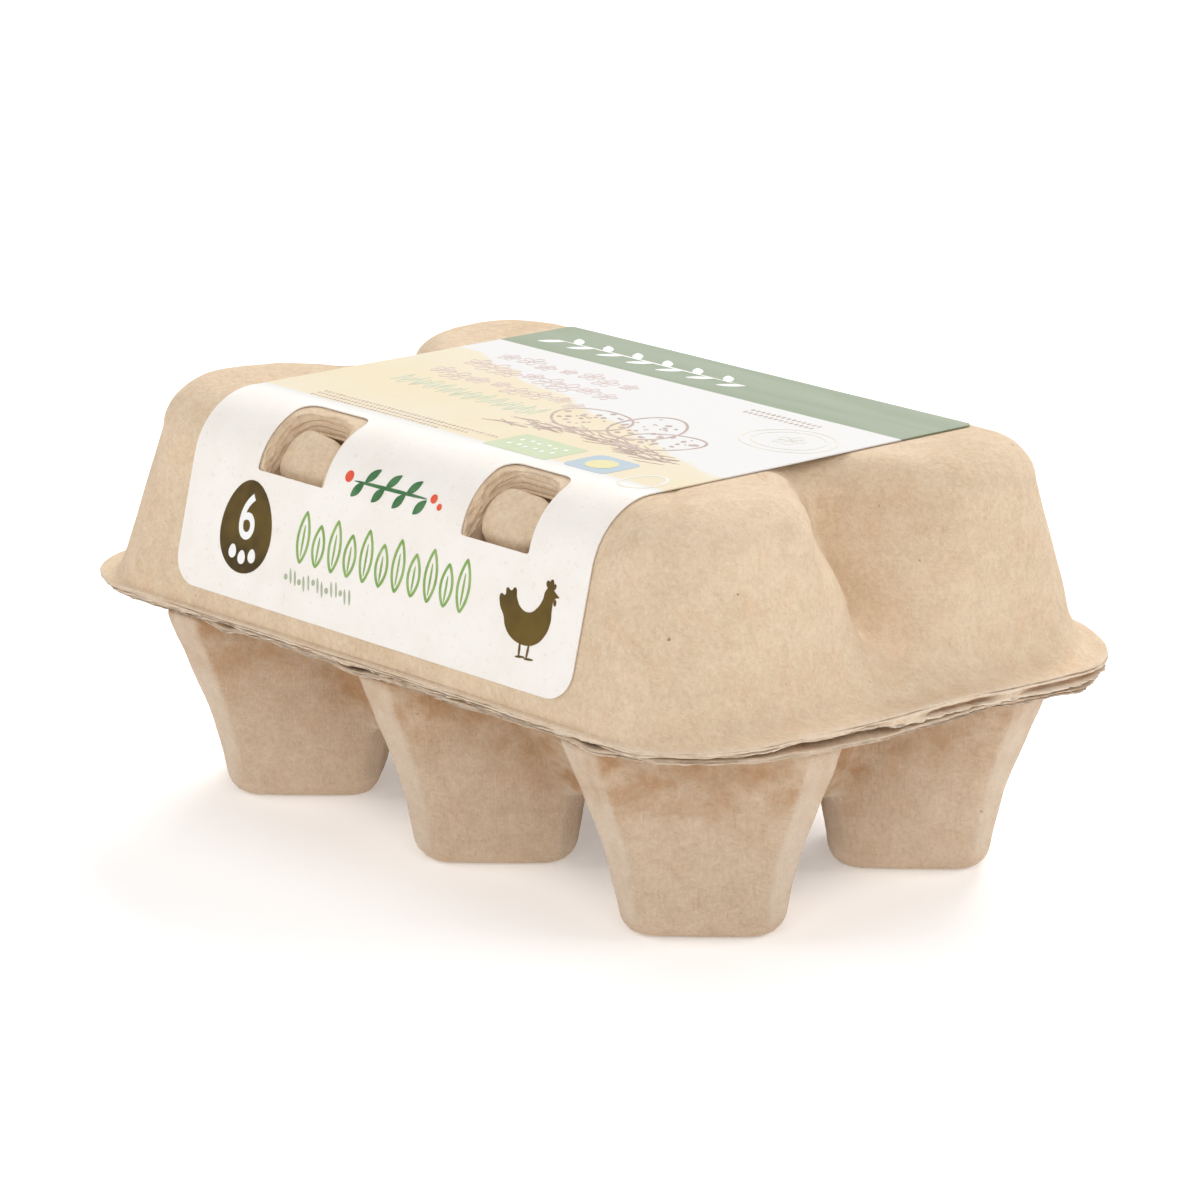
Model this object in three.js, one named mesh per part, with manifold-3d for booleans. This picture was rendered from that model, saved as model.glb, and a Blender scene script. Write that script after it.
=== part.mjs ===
// A shut carton for six eggs, in moulded pulp: a tray with six cups, a lid over it, two lock
// knobs in the lid's front windows, and one paper label folded over the front edge of the lid.
// Millimetres. X runs along the long side, the labelled long side faces -Y, +Z is up.
// The origin is at the middle of the carton's plan, on the surface it stands on.
import * as THREE from "three";
import Module from "manifold-3d";

const wasm = await Module();
wasm.setup();

// Driving dimensions
const RIM_HALF_LENGTH = 77; // lid rim, half of the long side
const RIM_HALF_WIDTH = 50.4;
const RIM_CORNER = 17;
const RIM_TOP = 36.7; // upper face of the lid's rim
const RIM_THICK = 1.2;
const RIM_ROUND = 0.4; // rounding of the rim's upper edge
const RIM_FLAT = { end: 2.6, front: 0.7, back: 1.6 }; // width of the lid's flat rim
const RIM_GAP = 0.3; // between the lid's rim and the tray's rim
const TRAY_RIM_INSET = 0.8; // the tray's rim is this much shorter all round
const TRAY_RIM_THICK = 1;
const TRAY_WALL_INSET = 2.6; // the cups stay this far inside the tray's rim

const CUP_PITCH_X = 47.5;
const CUP_PITCH_Y = 46.4;
const TRAY_SHIFT = [1, 1.4]; // the lid sits a little off the tray
const CUP_FOOT_APOTHEM = 12.3; // half of the width across a cup's slanted faces, at the foot
const CUP_SLOPE = 0.3; // its growth for each mm of height
const CUP_CORNER = 4.4; // rounding of a cup's upright corners
const CUP_CORNER_GROWTH = 0.13; // and its growth for each mm of height
const CUP_HEIGHT = 34.4;
const CUP_LEVELS = [ // height, and how far the rounded foot draws the faces in
  [0, 3.6], [0.4, 2.2], [1.5, 0.9], [3.2, 0.2], [5, 0],
  [14, 0], [22, 0], [27, 0.2], [31, 0], [CUP_HEIGHT, -0.4],
];
const SADDLE_HEIGHT = 13.5; // underside of the bridge between two cups
const BRIDGE_REACH = 9; // half of a bridge's length
const BRIDGE_LEVELS = [ // height, half width: a wedge that widens into the cups' faces
  [SADDLE_HEIGHT, 1.7], [SADDLE_HEIGHT + 1, 3], [SADDLE_HEIGHT + 10, 7.8], [CUP_HEIGHT, 15.6],
];

const WALL_FOOT = 38; // height where the lid's walls leave the rim
const WALL_LEVELS = [40.2, 41.4, 43, 46, 50, 54, 58];
const WALL_CORNER = 15; // plan radius of the walls' corners at the foot
const WALL_CORNER_GROWTH = 2;
const END_FOOT = 70.8; // half length of the lid there
const END_DRAFT = 0.2; // inward lean of the end walls for each mm of height
const BACK_FOOT = 47.8;
const BACK_DRAFT = 0.13;
const PANEL_FOOT = [-49.2, 40]; // y, z of the labelled front panel's lower edge
const PANEL_FOLD = [-41.8, 69.8]; // y, z where the panel's plane meets the top's plane
const TOP_BACK = [39.5, 67.9]; // y, z at the back end of the flat top
const FOLD_RADIUS = 12;
const SHOULDER = { foot: 62, crest: 68, reach: 9 }; // rounding between the walls and the top
const SHOULDER_STEPS = [0, 17, 34, 51, 68, 84]; // degrees
const DOME_RISE = 1.1; // the four corners stand this much above the flat top
const DOME_MIDDLE = { x: 57, y: [-29, 30] };
const DOME_SPREAD = { x: 9.5, y: 11 };
const DOME_BULGE = 1.2; // and this much out of the front panel
const VALLEY_FLOOR = [ // height, and depth of the valley in the middle of each end wall
  [38.3, 0.2], [39.6, 2.2], [41, 6.2], [43, 10.4], [46, 13.4], [50, 15.9], [56, 17.8], [62, 18.4], [70, 18.8],
];
const VALLEY_CENTRE = 2;
const VALLEY_SOFTNESS = 1.6; // rounding of its floor
const VALLEY_LENGTH = [20, 6]; // it fades out between these distances in from the end wall
const EGG_RADIUS = 21.5; // plan radius of the end bulges on both sides of the valley
const VALLEY_OPENS = [50, 65]; // between these heights the narrow groove opens into a wide dip
const VALLEY_DIP_POWER = 2.4; // how narrow that dip is

const WINDOW_X = [-23.8, 25.4]; // middle of each lock window
const WINDOW_HALF = 7;
const WINDOW_LOW = -7.4; // lower and upper edge of a window, along the fold's face from the fold
const WINDOW_HIGH = 5.3;
const WINDOW_DEPTH = 8.5;
const WINDOW_ROUND = { top: 5.5, low: 1 };
const CUT_CLEAR = 12; // cutting bodies stand this far out of the surface
const KNOB_GAP = 0.35;
const KNOB_HIGH = 2.2;
const KNOB_ROUND = { top: 4.5, low: 1.8 };
const KNOB_LEAN = 0.36; // the knob's face follows the front panel
const KNOB_PROFILE = [ // how far out, and how far the outline is drawn in
  [-4.6, 0], [-3.4, 0.1], [-2.4, 0.5], [-1.7, 1.1], [-1.25, 1.9], [-1.05, 2.8],
];

const LABEL_HALF = 47.2;
const LABEL_THICK = 0.25;
const LABEL_GAP = 0.3;
const LABEL_CORNER = 5; // rounding of the front corners
const LABEL_BACK_CORNER = 1.5;
const LABEL_MARGIN = 0.6; // the label's holes are this much wider than the windows
const LABEL_CUT_DEPTH = 6;

const material = (name, colour, roughness) => {
  const m = new THREE.MeshStandardMaterial({ color: colour, roughness });
  m.name = name;
  return m;
};
const kraft = material("kraft_pulp", 0xcdb08a, 0.95);
const greyKraft = material("tray_pulp", 0xc0a283, 0.95);
const paper = material("label_paper", 0xf0e8de, 0.7);

const lerp = (a, b, t) => a + (b - a) * t;
const clamp = (t) => Math.min(1, Math.max(0, t));
const smooth = (a, b, x) => {
  const t = clamp((x - a) / (b - a));
  return t * t * (3 - 2 * t);
};
const table = (rows, x) => {
  if (x <= rows[0][0]) return rows[0][1];
  for (let i = 1; i < rows.length; i++)
    if (x <= rows[i][0]) {
      const [a, b] = [rows[i - 1], rows[i]];
      return lerp(a[1], b[1], (x - a[0]) / (b[0] - a[0]));
    }
  return rows[rows.length - 1][1];
};

// Rings of points joined into closed bodies

// A rounded rectangle, counter-clockwise from above, always with the same number of points.
function outline(halfX, front, back, r, along = 14, across = 18, round = 7) {
  const pts = [];
  const side = (x0, y0, x1, y1, n) => {
    for (let k = 0; k < n; k++) pts.push([lerp(x0, x1, k / n), lerp(y0, y1, k / n)]);
  };
  const corner = (cx, cy, start) => {
    for (let k = 0; k < round; k++) {
      const a = start + ((k / round) * Math.PI) / 2;
      pts.push([cx + r * Math.cos(a), cy + r * Math.sin(a)]);
    }
  };
  side(-halfX + r, -front, halfX - r, -front, along);
  corner(halfX - r, -front + r, -Math.PI / 2);
  side(halfX, -front + r, halfX, back - r, across);
  corner(halfX - r, back - r, 0);
  side(halfX - r, back, -halfX + r, back, along);
  corner(-halfX + r, back - r, Math.PI / 2);
  side(-halfX, back - r, -halfX, -front + r, across);
  corner(-halfX + r, -front + r, Math.PI);
  return pts;
}
const at = (pts, z) => pts.map(([x, y]) => [x, y, z]);

// Rings from the bottom up, the first and the last drawn together to a single point.
function loft(rings) {
  const first = rings[0];
  const last = rings[rings.length - 1];
  const n = first.length;
  const middle = (ring) => [0, 1, 2].map((k) => ring.reduce((s, p) => s + p[k], 0) / n);
  const points = [middle(first), ...rings.flat(), middle(last)];
  const index = [];
  const id = (i, j) => 1 + i * n + (j % n);
  const top = points.length - 1;
  for (let j = 0; j < n; j++) index.push(0, id(0, j + 1), id(0, j));
  for (let i = 0; i + 1 < rings.length; i++)
    for (let j = 0; j < n; j++) {
      index.push(id(i, j), id(i, j + 1), id(i + 1, j + 1));
      index.push(id(i, j), id(i + 1, j + 1), id(i + 1, j));
    }
  for (let j = 0; j < n; j++) index.push(top, id(rings.length - 1, j), id(rings.length - 1, j + 1));
  return solid(points, index);
}
function solid(points, index) {
  return new wasm.Manifold(
    new wasm.Mesh({
      numProp: 3,
      vertProperties: new Float32Array(points.flat()),
      triVerts: new Uint32Array(index),
    }),
  );
}
function mesh(body, name, mat) {
  const { vertProperties, triVerts } = body.getMesh();
  const g = new THREE.BufferGeometry();
  g.setAttribute("position", new THREE.BufferAttribute(new Float32Array(vertProperties), 3));
  g.setIndex(new THREE.BufferAttribute(new Uint32Array(triVerts), 1));
  g.computeVertexNormals();
  const m = new THREE.Mesh(g, mat);
  m.name = name;
  return m;
}

// The lid's section through the labelled panel, the fold and the flat top
const unit = ([y, z]) => [y / Math.hypot(y, z), z / Math.hypot(y, z)];
const panelDir = unit([PANEL_FOLD[0] - PANEL_FOOT[0], PANEL_FOLD[1] - PANEL_FOOT[1]]);
const topDir = unit([TOP_BACK[0] - PANEL_FOLD[0], TOP_BACK[1] - PANEL_FOLD[1]]);
const panelNormal = [-panelDir[1], panelDir[0]];
const topNormal = [-topDir[1], topDir[0]];
const panelAngle = Math.atan2(panelNormal[1], panelNormal[0]);
const topAngle = Math.atan2(topNormal[1], topNormal[0]);
const turn = panelAngle - topAngle; // angle that the fold turns through
const foldReach = FOLD_RADIUS * Math.tan(turn / 2); // length of panel that the rounding takes
const panelLength = Math.hypot(PANEL_FOLD[0] - PANEL_FOOT[0], PANEL_FOLD[1] - PANEL_FOOT[1]);
const foldStart = panelLength - foldReach; // distance from the foot to where the rounding starts
const foldEnd = foldStart + FOLD_RADIUS * turn;
const topLength = Math.hypot(TOP_BACK[0] - PANEL_FOLD[0], TOP_BACK[1] - PANEL_FOLD[1]) - foldReach;
const sheetLength = foldEnd + topLength;

// Point of the section at distance s from the panel's foot, moved out of the surface by out.
function section(s, out = 0) {
  if (s <= foldStart)
    return [
      PANEL_FOOT[0] + panelDir[0] * s + panelNormal[0] * out,
      PANEL_FOOT[1] + panelDir[1] * s + panelNormal[1] * out,
    ];
  const tangent = [PANEL_FOLD[0] - panelDir[0] * foldReach, PANEL_FOLD[1] - panelDir[1] * foldReach];
  const centre = [tangent[0] - panelNormal[0] * FOLD_RADIUS, tangent[1] - panelNormal[1] * FOLD_RADIUS];
  if (s <= foldEnd) {
    const a = panelAngle - (s - foldStart) / FOLD_RADIUS;
    return [centre[0] + (FOLD_RADIUS + out) * Math.cos(a), centre[1] + (FOLD_RADIUS + out) * Math.sin(a)];
  }
  const t = foldReach + s - foldEnd;
  return [
    PANEL_FOLD[0] + topDir[0] * t + topNormal[0] * out,
    PANEL_FOLD[1] + topDir[1] * t + topNormal[1] * out,
  ];
}

// Lid
const topPlane = (y) => lerp(PANEL_FOLD[1], TOP_BACK[1], (y - PANEL_FOLD[0]) / (TOP_BACK[0] - PANEL_FOLD[0]));
function topHeight(x, y) {
  let z = topPlane(y);
  const beyondLabel = smooth(LABEL_HALF + 0.5, LABEL_HALF + 6, Math.abs(x));
  const along = (Math.abs(x) - DOME_MIDDLE.x) / DOME_SPREAD.x;
  for (const cy of DOME_MIDDLE.y)
    z += DOME_RISE * beyondLabel * Math.exp(-(along ** 2) - ((y - cy) / DOME_SPREAD.y) ** 2);
  return z;
}
const endHalf = (z) => END_FOOT - END_DRAFT * (z - WALL_FOOT);
const backHalf = (z) => BACK_FOOT - BACK_DRAFT * (z - WALL_FOOT);
const frontHalf = (z) => {
  const share = (z - PANEL_FOOT[1]) / (PANEL_FOLD[1] - PANEL_FOOT[1]);
  return -lerp(PANEL_FOOT[0], PANEL_FOLD[0], share);
};

// How deep the valley is at y: two round end bulges that meet in a soft groove, open at the top.
function valleyShare(y, z) {
  const soft = Math.hypot(y - VALLEY_CENTRE, VALLEY_SOFTNESS);
  const full = 0.985; // just short of the round bulges' tangent
  const t = full * clamp((EGG_RADIUS - soft) / (EGG_RADIUS - VALLEY_SOFTNESS));
  const groove = (1 - Math.sqrt(1 - t * t)) / (1 - Math.sqrt(1 - full ** 2));
  const dip = Math.cos((clamp(Math.abs(y - VALLEY_CENTRE) / EGG_RADIUS) * Math.PI) / 2) ** VALLEY_DIP_POWER;
  return lerp(groove, dip, smooth(...VALLEY_OPENS, z));
}

function wallRing(z, inward = 0) {
  const halfX = endHalf(z) - inward;
  const inwardY = inward * 0.55; // the long sides' shoulders are narrower
  const rise = smooth(WALL_FOOT, SHOULDER.foot, z);
  const r = WALL_CORNER + WALL_CORNER_GROWTH * rise - inward * 0.75;
  const [fadeFrom, fadeTo] = VALLEY_LENGTH.map((d) => halfX - d);
  return outline(halfX, frontHalf(z) - inwardY, backHalf(z) - inwardY, r).map(([x, y]) => {
    const corner = smooth(LABEL_HALF + 1.3, LABEL_HALF + 11, Math.abs(x)) * smooth(10, -30, y);
    const by = y - corner * DOME_BULGE * rise;
    const valley = valleyShare(by, z) * table(VALLEY_FLOOR, z) * smooth(fadeFrom, fadeTo, Math.abs(x));
    return [x - Math.sign(x) * valley, by, z];
  });
}

function lidBody() {
  const rim = (grow) =>
    outline(RIM_HALF_LENGTH + grow, RIM_HALF_WIDTH + grow, RIM_HALF_WIDTH + grow, RIM_CORNER + grow);
  const flat = outline(
    RIM_HALF_LENGTH - RIM_FLAT.end,
    RIM_HALF_WIDTH - RIM_FLAT.front,
    RIM_HALF_WIDTH - RIM_FLAT.back,
    RIM_CORNER - 1,
  );
  const rings = [
    at(rim(0), RIM_TOP - RIM_THICK),
    at(rim(0), RIM_TOP - RIM_ROUND),
    at(rim(-RIM_ROUND), RIM_TOP),
    at(flat, RIM_TOP + 0.2),
    wallRing(WALL_FOOT - 0.2, -1.2),
    wallRing(WALL_FOOT + 1.3, -0.3),
    ...WALL_LEVELS.map((z) => wallRing(z)),
  ];
  // The rounding at the top: a soft one at the ends and the back, the label's fold in front.
  const low = wallRing(SHOULDER.foot);
  const high = wallRing(SHOULDER.crest, SHOULDER.reach);
  for (const degrees of SHOULDER_STEPS) {
    const a = THREE.MathUtils.degToRad(degrees);
    const up = Math.sin(a);
    const inward = 1 - Math.cos(a);
    const fold = section(lerp(foldStart - 0.5, foldEnd + 0.5, degrees / SHOULDER_STEPS.at(-1)));
    rings.push(
      low.map((p, j) => {
        const x = lerp(p[0], high[j][0], inward);
        const y = lerp(p[1], high[j][1], inward);
        const soft = [x, y, lerp(SHOULDER.foot, topHeight(x, y), up)];
        const straight = y < -20 ? smooth(LABEL_HALF + 9.8, LABEL_HALF + 1.8, Math.abs(x)) : 0;
        return [x, lerp(soft[1], fold[0], straight), lerp(soft[2], fold[1], straight)];
      }),
    );
  }
  const crest = rings.at(-1);
  const spine = { half: 25, y: 2 }; // the top closes over this line
  for (const t of [0.4, 0.92])
    rings.push(
      crest.map(([x, y]) => {
        const px = lerp(x, THREE.MathUtils.clamp(x, -spine.half, spine.half), t);
        const py = lerp(y, spine.y, t);
        return [px, py, topHeight(px, py)];
      }),
    );
  return loft(rings);
}

// Lock windows: straight-sided, round-topped, cut square to the fold's face
const faceNormal = unit([panelNormal[0] + topNormal[0], panelNormal[1] + topNormal[1]]);
const faceUp = [faceNormal[1], -faceNormal[0]];
const foldMiddle = section((foldStart + foldEnd) / 2);
function windowRing(x0, halfWidth, low, high, round, out, shrink = 0, lean = 0) {
  const pts = [];
  const arc = (cx, cy, r, start, n) => {
    for (let k = 0; k <= n; k++) {
      const a = start + ((k / n) * Math.PI) / 2;
      pts.push([cx + r * Math.cos(a), cy + r * Math.sin(a)]);
    }
  };
  const w = halfWidth - shrink;
  const l = low + shrink;
  const h = high - shrink;
  const rt = Math.max(round.top - shrink, 0.4);
  const rl = Math.max(round.low - shrink, 0.4);
  arc(w - rt, h - rt, rt, 0, 5);
  arc(-w + rt, h - rt, rt, Math.PI / 2, 5);
  arc(-w + rl, l + rl, rl, Math.PI, 2);
  arc(w - rl, l + rl, rl, 1.5 * Math.PI, 2);
  return pts.map(([x, v]) => [
    x0 + x,
    foldMiddle[0] + faceUp[0] * v + faceNormal[0] * (out + lean * v),
    foldMiddle[1] + faceUp[1] * v + faceNormal[1] * (out + lean * v),
  ]);
}
function windowCut(x0, grow, depth) {
  const size = [WINDOW_HALF + grow, WINDOW_LOW - grow, WINDOW_HIGH + grow, WINDOW_ROUND];
  return loft([-depth, CUT_CLEAR].map((out) => windowRing(x0, ...size, out)));
}

// A knob fills the lower half of its window and swells a little; above it a slot stays open.
function knobBody(x0) {
  const size = [WINDOW_HALF - KNOB_GAP, WINDOW_LOW + KNOB_GAP, KNOB_HIGH, KNOB_ROUND];
  const back = windowRing(x0, ...size, KNOB_GAP - WINDOW_DEPTH);
  const face = KNOB_PROFILE.map(([out, shrink]) => windowRing(x0, ...size, out, shrink, KNOB_LEAN));
  return loft([back, ...face]);
}

// Tray
function cupBody(cx, cy) {
  return loft(
    CUP_LEVELS.map(([z, inset]) => {
      const a = CUP_FOOT_APOTHEM + CUP_SLOPE * z - inset;
      const r = CUP_CORNER + CUP_CORNER_GROWTH * z - 0.3 * inset;
      const c = Math.SQRT2 * (a - r);
      const pts = [];
      for (let k = 0; k < 4; k++)
        for (let j = 0; j < 4; j++) {
          const tip = (k * Math.PI) / 2;
          const t = tip - Math.PI / 4 + ((j / 3) * Math.PI) / 2;
          pts.push([cx + c * Math.cos(tip) + r * Math.cos(t), cy + c * Math.sin(tip) + r * Math.sin(t)]);
        }
      return at(pts, z);
    }),
  );
}
// A bridge between two cups, wedge-shaped in section, along X or along Y.
function bridge(cx, cy, alongX) {
  return loft(
    BRIDGE_LEVELS.map(([z, w]) => {
      const l = BRIDGE_REACH;
      const pts = [[-l, -w], [l, -w], [l, w], [-l, w]];
      return at(pts.map(([u, v]) => (alongX ? [cx + u, cy + v] : [cx - v, cy + u])), z);
    }),
  );
}
function trayBody() {
  const place = (i, j) => [i * CUP_PITCH_X + TRAY_SHIFT[0], j * CUP_PITCH_Y + TRAY_SHIFT[1]];
  const parts = [];
  for (const j of [-0.5, 0.5]) {
    for (const i of [-1, 0, 1]) parts.push(cupBody(...place(i, j)));
    for (const i of [-0.5, 0.5]) parts.push(bridge(...place(i, j), true));
  }
  for (const i of [-1, 0, 1]) parts.push(bridge(...place(i, 0), false));
  const cups = parts.reduce((a, b) => a.add(b));
  const rim = (grow) => {
    const [l, w] = [RIM_HALF_LENGTH, RIM_HALF_WIDTH].map((half) => half - TRAY_RIM_INSET + grow);
    return outline(l, w, w, RIM_CORNER + grow, 1, 1, 7);
  };
  const top = RIM_TOP - RIM_THICK - RIM_GAP;
  const under = top - TRAY_RIM_THICK;
  const inside = loft([at(rim(-TRAY_WALL_INSET), -1), at(rim(-TRAY_WALL_INSET), top - 0.2)]);
  const slab = loft([at(rim(-0.2), under), at(rim(0), under + 0.3), at(rim(0), top)]);
  return cups.intersect(inside).add(slab);
}

// Label: a sheet with rounded corners, bent over the fold
function labelBody() {
  const rows = [];
  const push = (from, to, n) => {
    for (let k = 0; k < n; k++) rows.push(lerp(from, to, k / n));
  };
  push(0, LABEL_CORNER, 5);
  push(LABEL_CORNER, foldStart, 4);
  push(foldStart, foldEnd, 7);
  push(foldEnd, sheetLength - LABEL_BACK_CORNER, 6);
  push(sheetLength - LABEL_BACK_CORNER, sheetLength, 3);
  rows.push(sheetLength);
  const halfAt = (s) => {
    const [d, r] = s < sheetLength / 2 ? [s, LABEL_CORNER] : [sheetLength - s, LABEL_BACK_CORNER];
    return d >= r ? LABEL_HALF : LABEL_HALF - r + Math.sqrt(r ** 2 - (r - d) ** 2);
  };
  const columns = 8;
  const across = (s, i, out) => [(-1 + (2 * i) / columns) * halfAt(s), ...section(s, out)];
  return loft(
    rows.map((s) => {
      const ring = [];
      for (let i = 0; i <= columns; i++) ring.push(across(s, i, LABEL_GAP + LABEL_THICK));
      for (let i = columns; i >= 0; i--) ring.push(across(s, i, LABEL_GAP));
      return ring;
    }),
  );
}

const lid = WINDOW_X.reduce((b, x) => b.subtract(windowCut(x, 0, WINDOW_DEPTH)), lidBody());
const holes = WINDOW_X.map((x) => windowCut(x, LABEL_MARGIN, LABEL_CUT_DEPTH));
const label = holes.reduce((b, hole) => b.subtract(hole), labelBody());

const carton = new THREE.Group();
carton.name = "egg_carton";
carton.add(mesh(trayBody(), "tray", greyKraft));
carton.add(mesh(lid, "lid", kraft));
carton.add(mesh(knobBody(WINDOW_X[0]), "lock_knob_left", kraft));
carton.add(mesh(knobBody(WINDOW_X[1]), "lock_knob_right", kraft));
carton.add(mesh(label, "label", paper));

export default carton;
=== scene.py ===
# %% [markdown]
# # A carton of six eggs in moulded pulp
# The carton is a tray of six tapered cups with a domed lid over it, both sucked out of wet waste-paper
# pulp onto a wire mould. A paper label is glued over the front edge of the lid, and two knobs of the
# tray look out of two windows in it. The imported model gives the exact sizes; this lesson dresses it.

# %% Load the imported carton
import math
import random
import bmesh
import bpy
from mathutils import Matrix, Vector, noise


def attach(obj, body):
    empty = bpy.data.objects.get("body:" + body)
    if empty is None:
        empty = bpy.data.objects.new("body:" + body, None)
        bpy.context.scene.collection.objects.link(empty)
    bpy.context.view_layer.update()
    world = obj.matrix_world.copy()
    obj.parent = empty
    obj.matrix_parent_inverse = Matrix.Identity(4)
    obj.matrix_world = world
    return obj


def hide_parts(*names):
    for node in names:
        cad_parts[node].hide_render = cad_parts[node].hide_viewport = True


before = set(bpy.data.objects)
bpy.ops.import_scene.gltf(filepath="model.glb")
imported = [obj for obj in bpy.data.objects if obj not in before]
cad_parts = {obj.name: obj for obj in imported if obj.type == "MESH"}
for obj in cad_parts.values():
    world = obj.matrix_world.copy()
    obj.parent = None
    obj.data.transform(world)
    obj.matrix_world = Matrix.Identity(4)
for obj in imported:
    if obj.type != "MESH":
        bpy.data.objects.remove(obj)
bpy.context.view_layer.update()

# %% [markdown]
# ## Measures
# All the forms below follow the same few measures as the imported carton. They are written in
# millimetres, as a mould maker would, and each point is turned to metres when it is placed.

# %% Measures of lid, tray and label
MM = 0.001
rim = {"half_length": 77.0, "half_width": 50.4, "corner": 17.0}
tray_rim = {"half_length": 76.2, "half_width": 49.6}
around = (264, 150, 60)  # points of a ring along a long side, along an end and around a corner
cup = {"pitch_x": 47.5, "pitch_y": 46.4, "facet": 3.6, "facet_growth": 0.10, "crease": 0.9}
cup_half = [  # height, and how far a cup's broad faces stand from its middle
    (0, 12.7), (5, 13.4), (9.4, 14.2), (14.5, 15.4), (20, 17.1), (25.5, 19.0), (28.8, 20.2), (34.6, 22.0),
]
tray_shift = (1.0, 1.4)  # the lid sits a little off the tray
panel_foot = (-49.2, 40.0)  # y, z of the labelled panel's lower edge
panel_fold = (-41.8, 69.8)  # y, z where the panel would meet the flat top
top_back = (39.5, 67.9)
fold_radius = 12.0
label_half = 47.2
window_x = (-23.3, 25.6)
window = {"half": 7.7, "high": 5.3, "round_top": 5.0, "round_low": 0.8}
window_low = (-7.4, -8.3)  # the left one's and the right one's lower edge
label_holes = ((-31.3, 21.3, -15.0, 36.5), (17.8, 20.4, 33.4, 35.6))  # corners in x and along the paper


# %% Small sums used everywhere
quarter = math.pi / 2


def lerp(a, b, t):
    return a + (b - a) * t


def clamp(t):
    return min(1.0, max(0.0, t))


def smooth(a, b, x):
    t = clamp((x - a) / (b - a))
    return t * t * (3 - 2 * t)


def gauss(value, middle, width):
    return math.exp(-(((value - middle) / width) ** 2))


def through(rows, x):
    """A smooth curve through rows of (position, value)."""
    if x <= rows[0][0]:
        return rows[0][1]
    if x >= rows[-1][0]:
        return rows[-1][1]
    i = max(k for k in range(len(rows) - 1) if rows[k][0] <= x)
    (x1, y1), (x2, y2) = rows[i], rows[i + 1]
    x0, y0 = rows[i - 1] if i else (2 * x1 - x2, 2 * y1 - y2)
    x3, y3 = rows[i + 2] if i + 2 < len(rows) else (2 * x2 - x1, 2 * y2 - y1)
    m1 = (y2 - y0) / (x2 - x0) * (x2 - x1)
    m2 = (y3 - y1) / (x3 - x1) * (x2 - x1)
    t = (x - x1) / (x2 - x1)
    return (
        (2 * t**3 - 3 * t**2 + 1) * y1 + (t**3 - 2 * t**2 + t) * m1
        + (3 * t**2 - 2 * t**3) * y2 + (t**3 - t**2) * m2
    )


def rough(x, y, z, size, seed=0.0):
    """Even noise from -1 to 1 whose lumps are about size millimetres wide."""
    return noise.noise(Vector((x / size + seed, y / size - seed * 0.7, z / size + seed * 1.3)))


def felt(x, y, z, *layers):
    """Noises of several sizes added up; a layer is (share, size, seed)."""
    return sum(share * rough(x, y, z, size, seed) for share, size, seed in layers)


# %% [markdown]
# ## A skin made ring by ring
# Lid, cups and knobs are all shapes that change steadily from the bottom up. One loop of edges is
# extruded again and again, and each new loop is laid on the next ring of the shape. This keeps even
# quads all the way, which takes dents and smoothing well.

# %% Extrude a loop of edges through rings of points
def skin(bm, rings, close_first=True, close_last=True, **marks):
    """Extrudes one loop of edges through the rings; each mark fills a layer, ring by ring."""
    count = len(rings[0])
    layers = [(bm.verts.layers.float.new(name), rows) for name, rows in marks.items()]
    loop = bmesh.ops.create_circle(bm, segments=count, radius=1)["verts"]
    for number, ring in enumerate(rings):
        if number:
            made = bmesh.ops.extrude_edge_only(bm, edges=edges)["geom"]
            new = {g for g in made if isinstance(g, bmesh.types.BMVert)}
            loop = [next(e.other_vert(v) for e in v.link_edges if e.other_vert(v) in new) for v in loop]
        for k, (vert, point) in enumerate(zip(loop, ring)):
            vert.co = Vector(point) * MM
            for layer, rows in layers:
                vert[layer] = rows[number][k] if number < len(rows) else 0.0
        edges = [bm.edges.get((loop[i], loop[(i + 1) % count])) for i in range(count)]
        if (close_first and number == 0) or (close_last and number == len(rings) - 1):
            bmesh.ops.contextual_create(bm, geom=edges)


def straight(p, q, n, first=0):
    """Points on the way from p to q, without q."""
    return [(lerp(p[0], q[0], k / n), lerp(p[1], q[1], k / n)) for k in range(first, n)]


def arc(cx, cy, r, start, n, last=1):
    """Points on a quarter circle, with its last point or, where last is 0, without it."""
    angles = [start + k / n * quarter for k in range(n + last)]
    return [(cx + r * math.cos(a), cy + r * math.sin(a)) for a in angles]


def rounded(half_x, front, back, r, along, across, turn):
    """A rounded rectangle around the carton, counter-clockwise from above."""
    x, low, high = half_x - r, -front + r, back - r
    return (
        straight((-x, -front), (x, -front), along) + arc(x, low, r, -quarter, turn, 0)
        + straight((half_x, low), (half_x, high), across) + arc(x, high, r, 0, turn, 0)
        + straight((x, back), (-x, back), along) + arc(-x, high, r, quarter, turn, 0)
        + straight((-half_x, high), (-half_x, low), across) + arc(-x, low, r, math.pi, turn, 0)
    )


# %% From a bmesh to a piece of the carton
def object_of(name, bm, *materials):
    """Puts a bmesh into the scene as an object."""
    data = bpy.data.meshes.new(name)
    bm.to_mesh(data)
    bm.free()
    for material in materials:
        data.materials.append(material)
    made = bpy.data.objects.new(name, data)
    bpy.context.collection.objects.link(made)
    return made


def finish_piece(name, bm, material, slot, crease=None, stands_for=()):
    """Makes a named piece of a bmesh; it rides with the carton."""
    bmesh.ops.remove_doubles(bm, verts=bm.verts, dist=1e-6)
    bmesh.ops.recalc_face_normals(bm, faces=bm.faces)
    for face in bm.faces:
        face.smooth = True
    for edge in bm.edges if crease else ():
        if len(edge.link_faces) == 2 and edge.calc_face_angle() > crease:
            edge.smooth = False
    piece = object_of(name, bm, material)
    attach(piece, "root")
    if stands_for:
        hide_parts(*stands_for)
    print(name, len(piece.data.polygons), "faces")
    return piece


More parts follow.
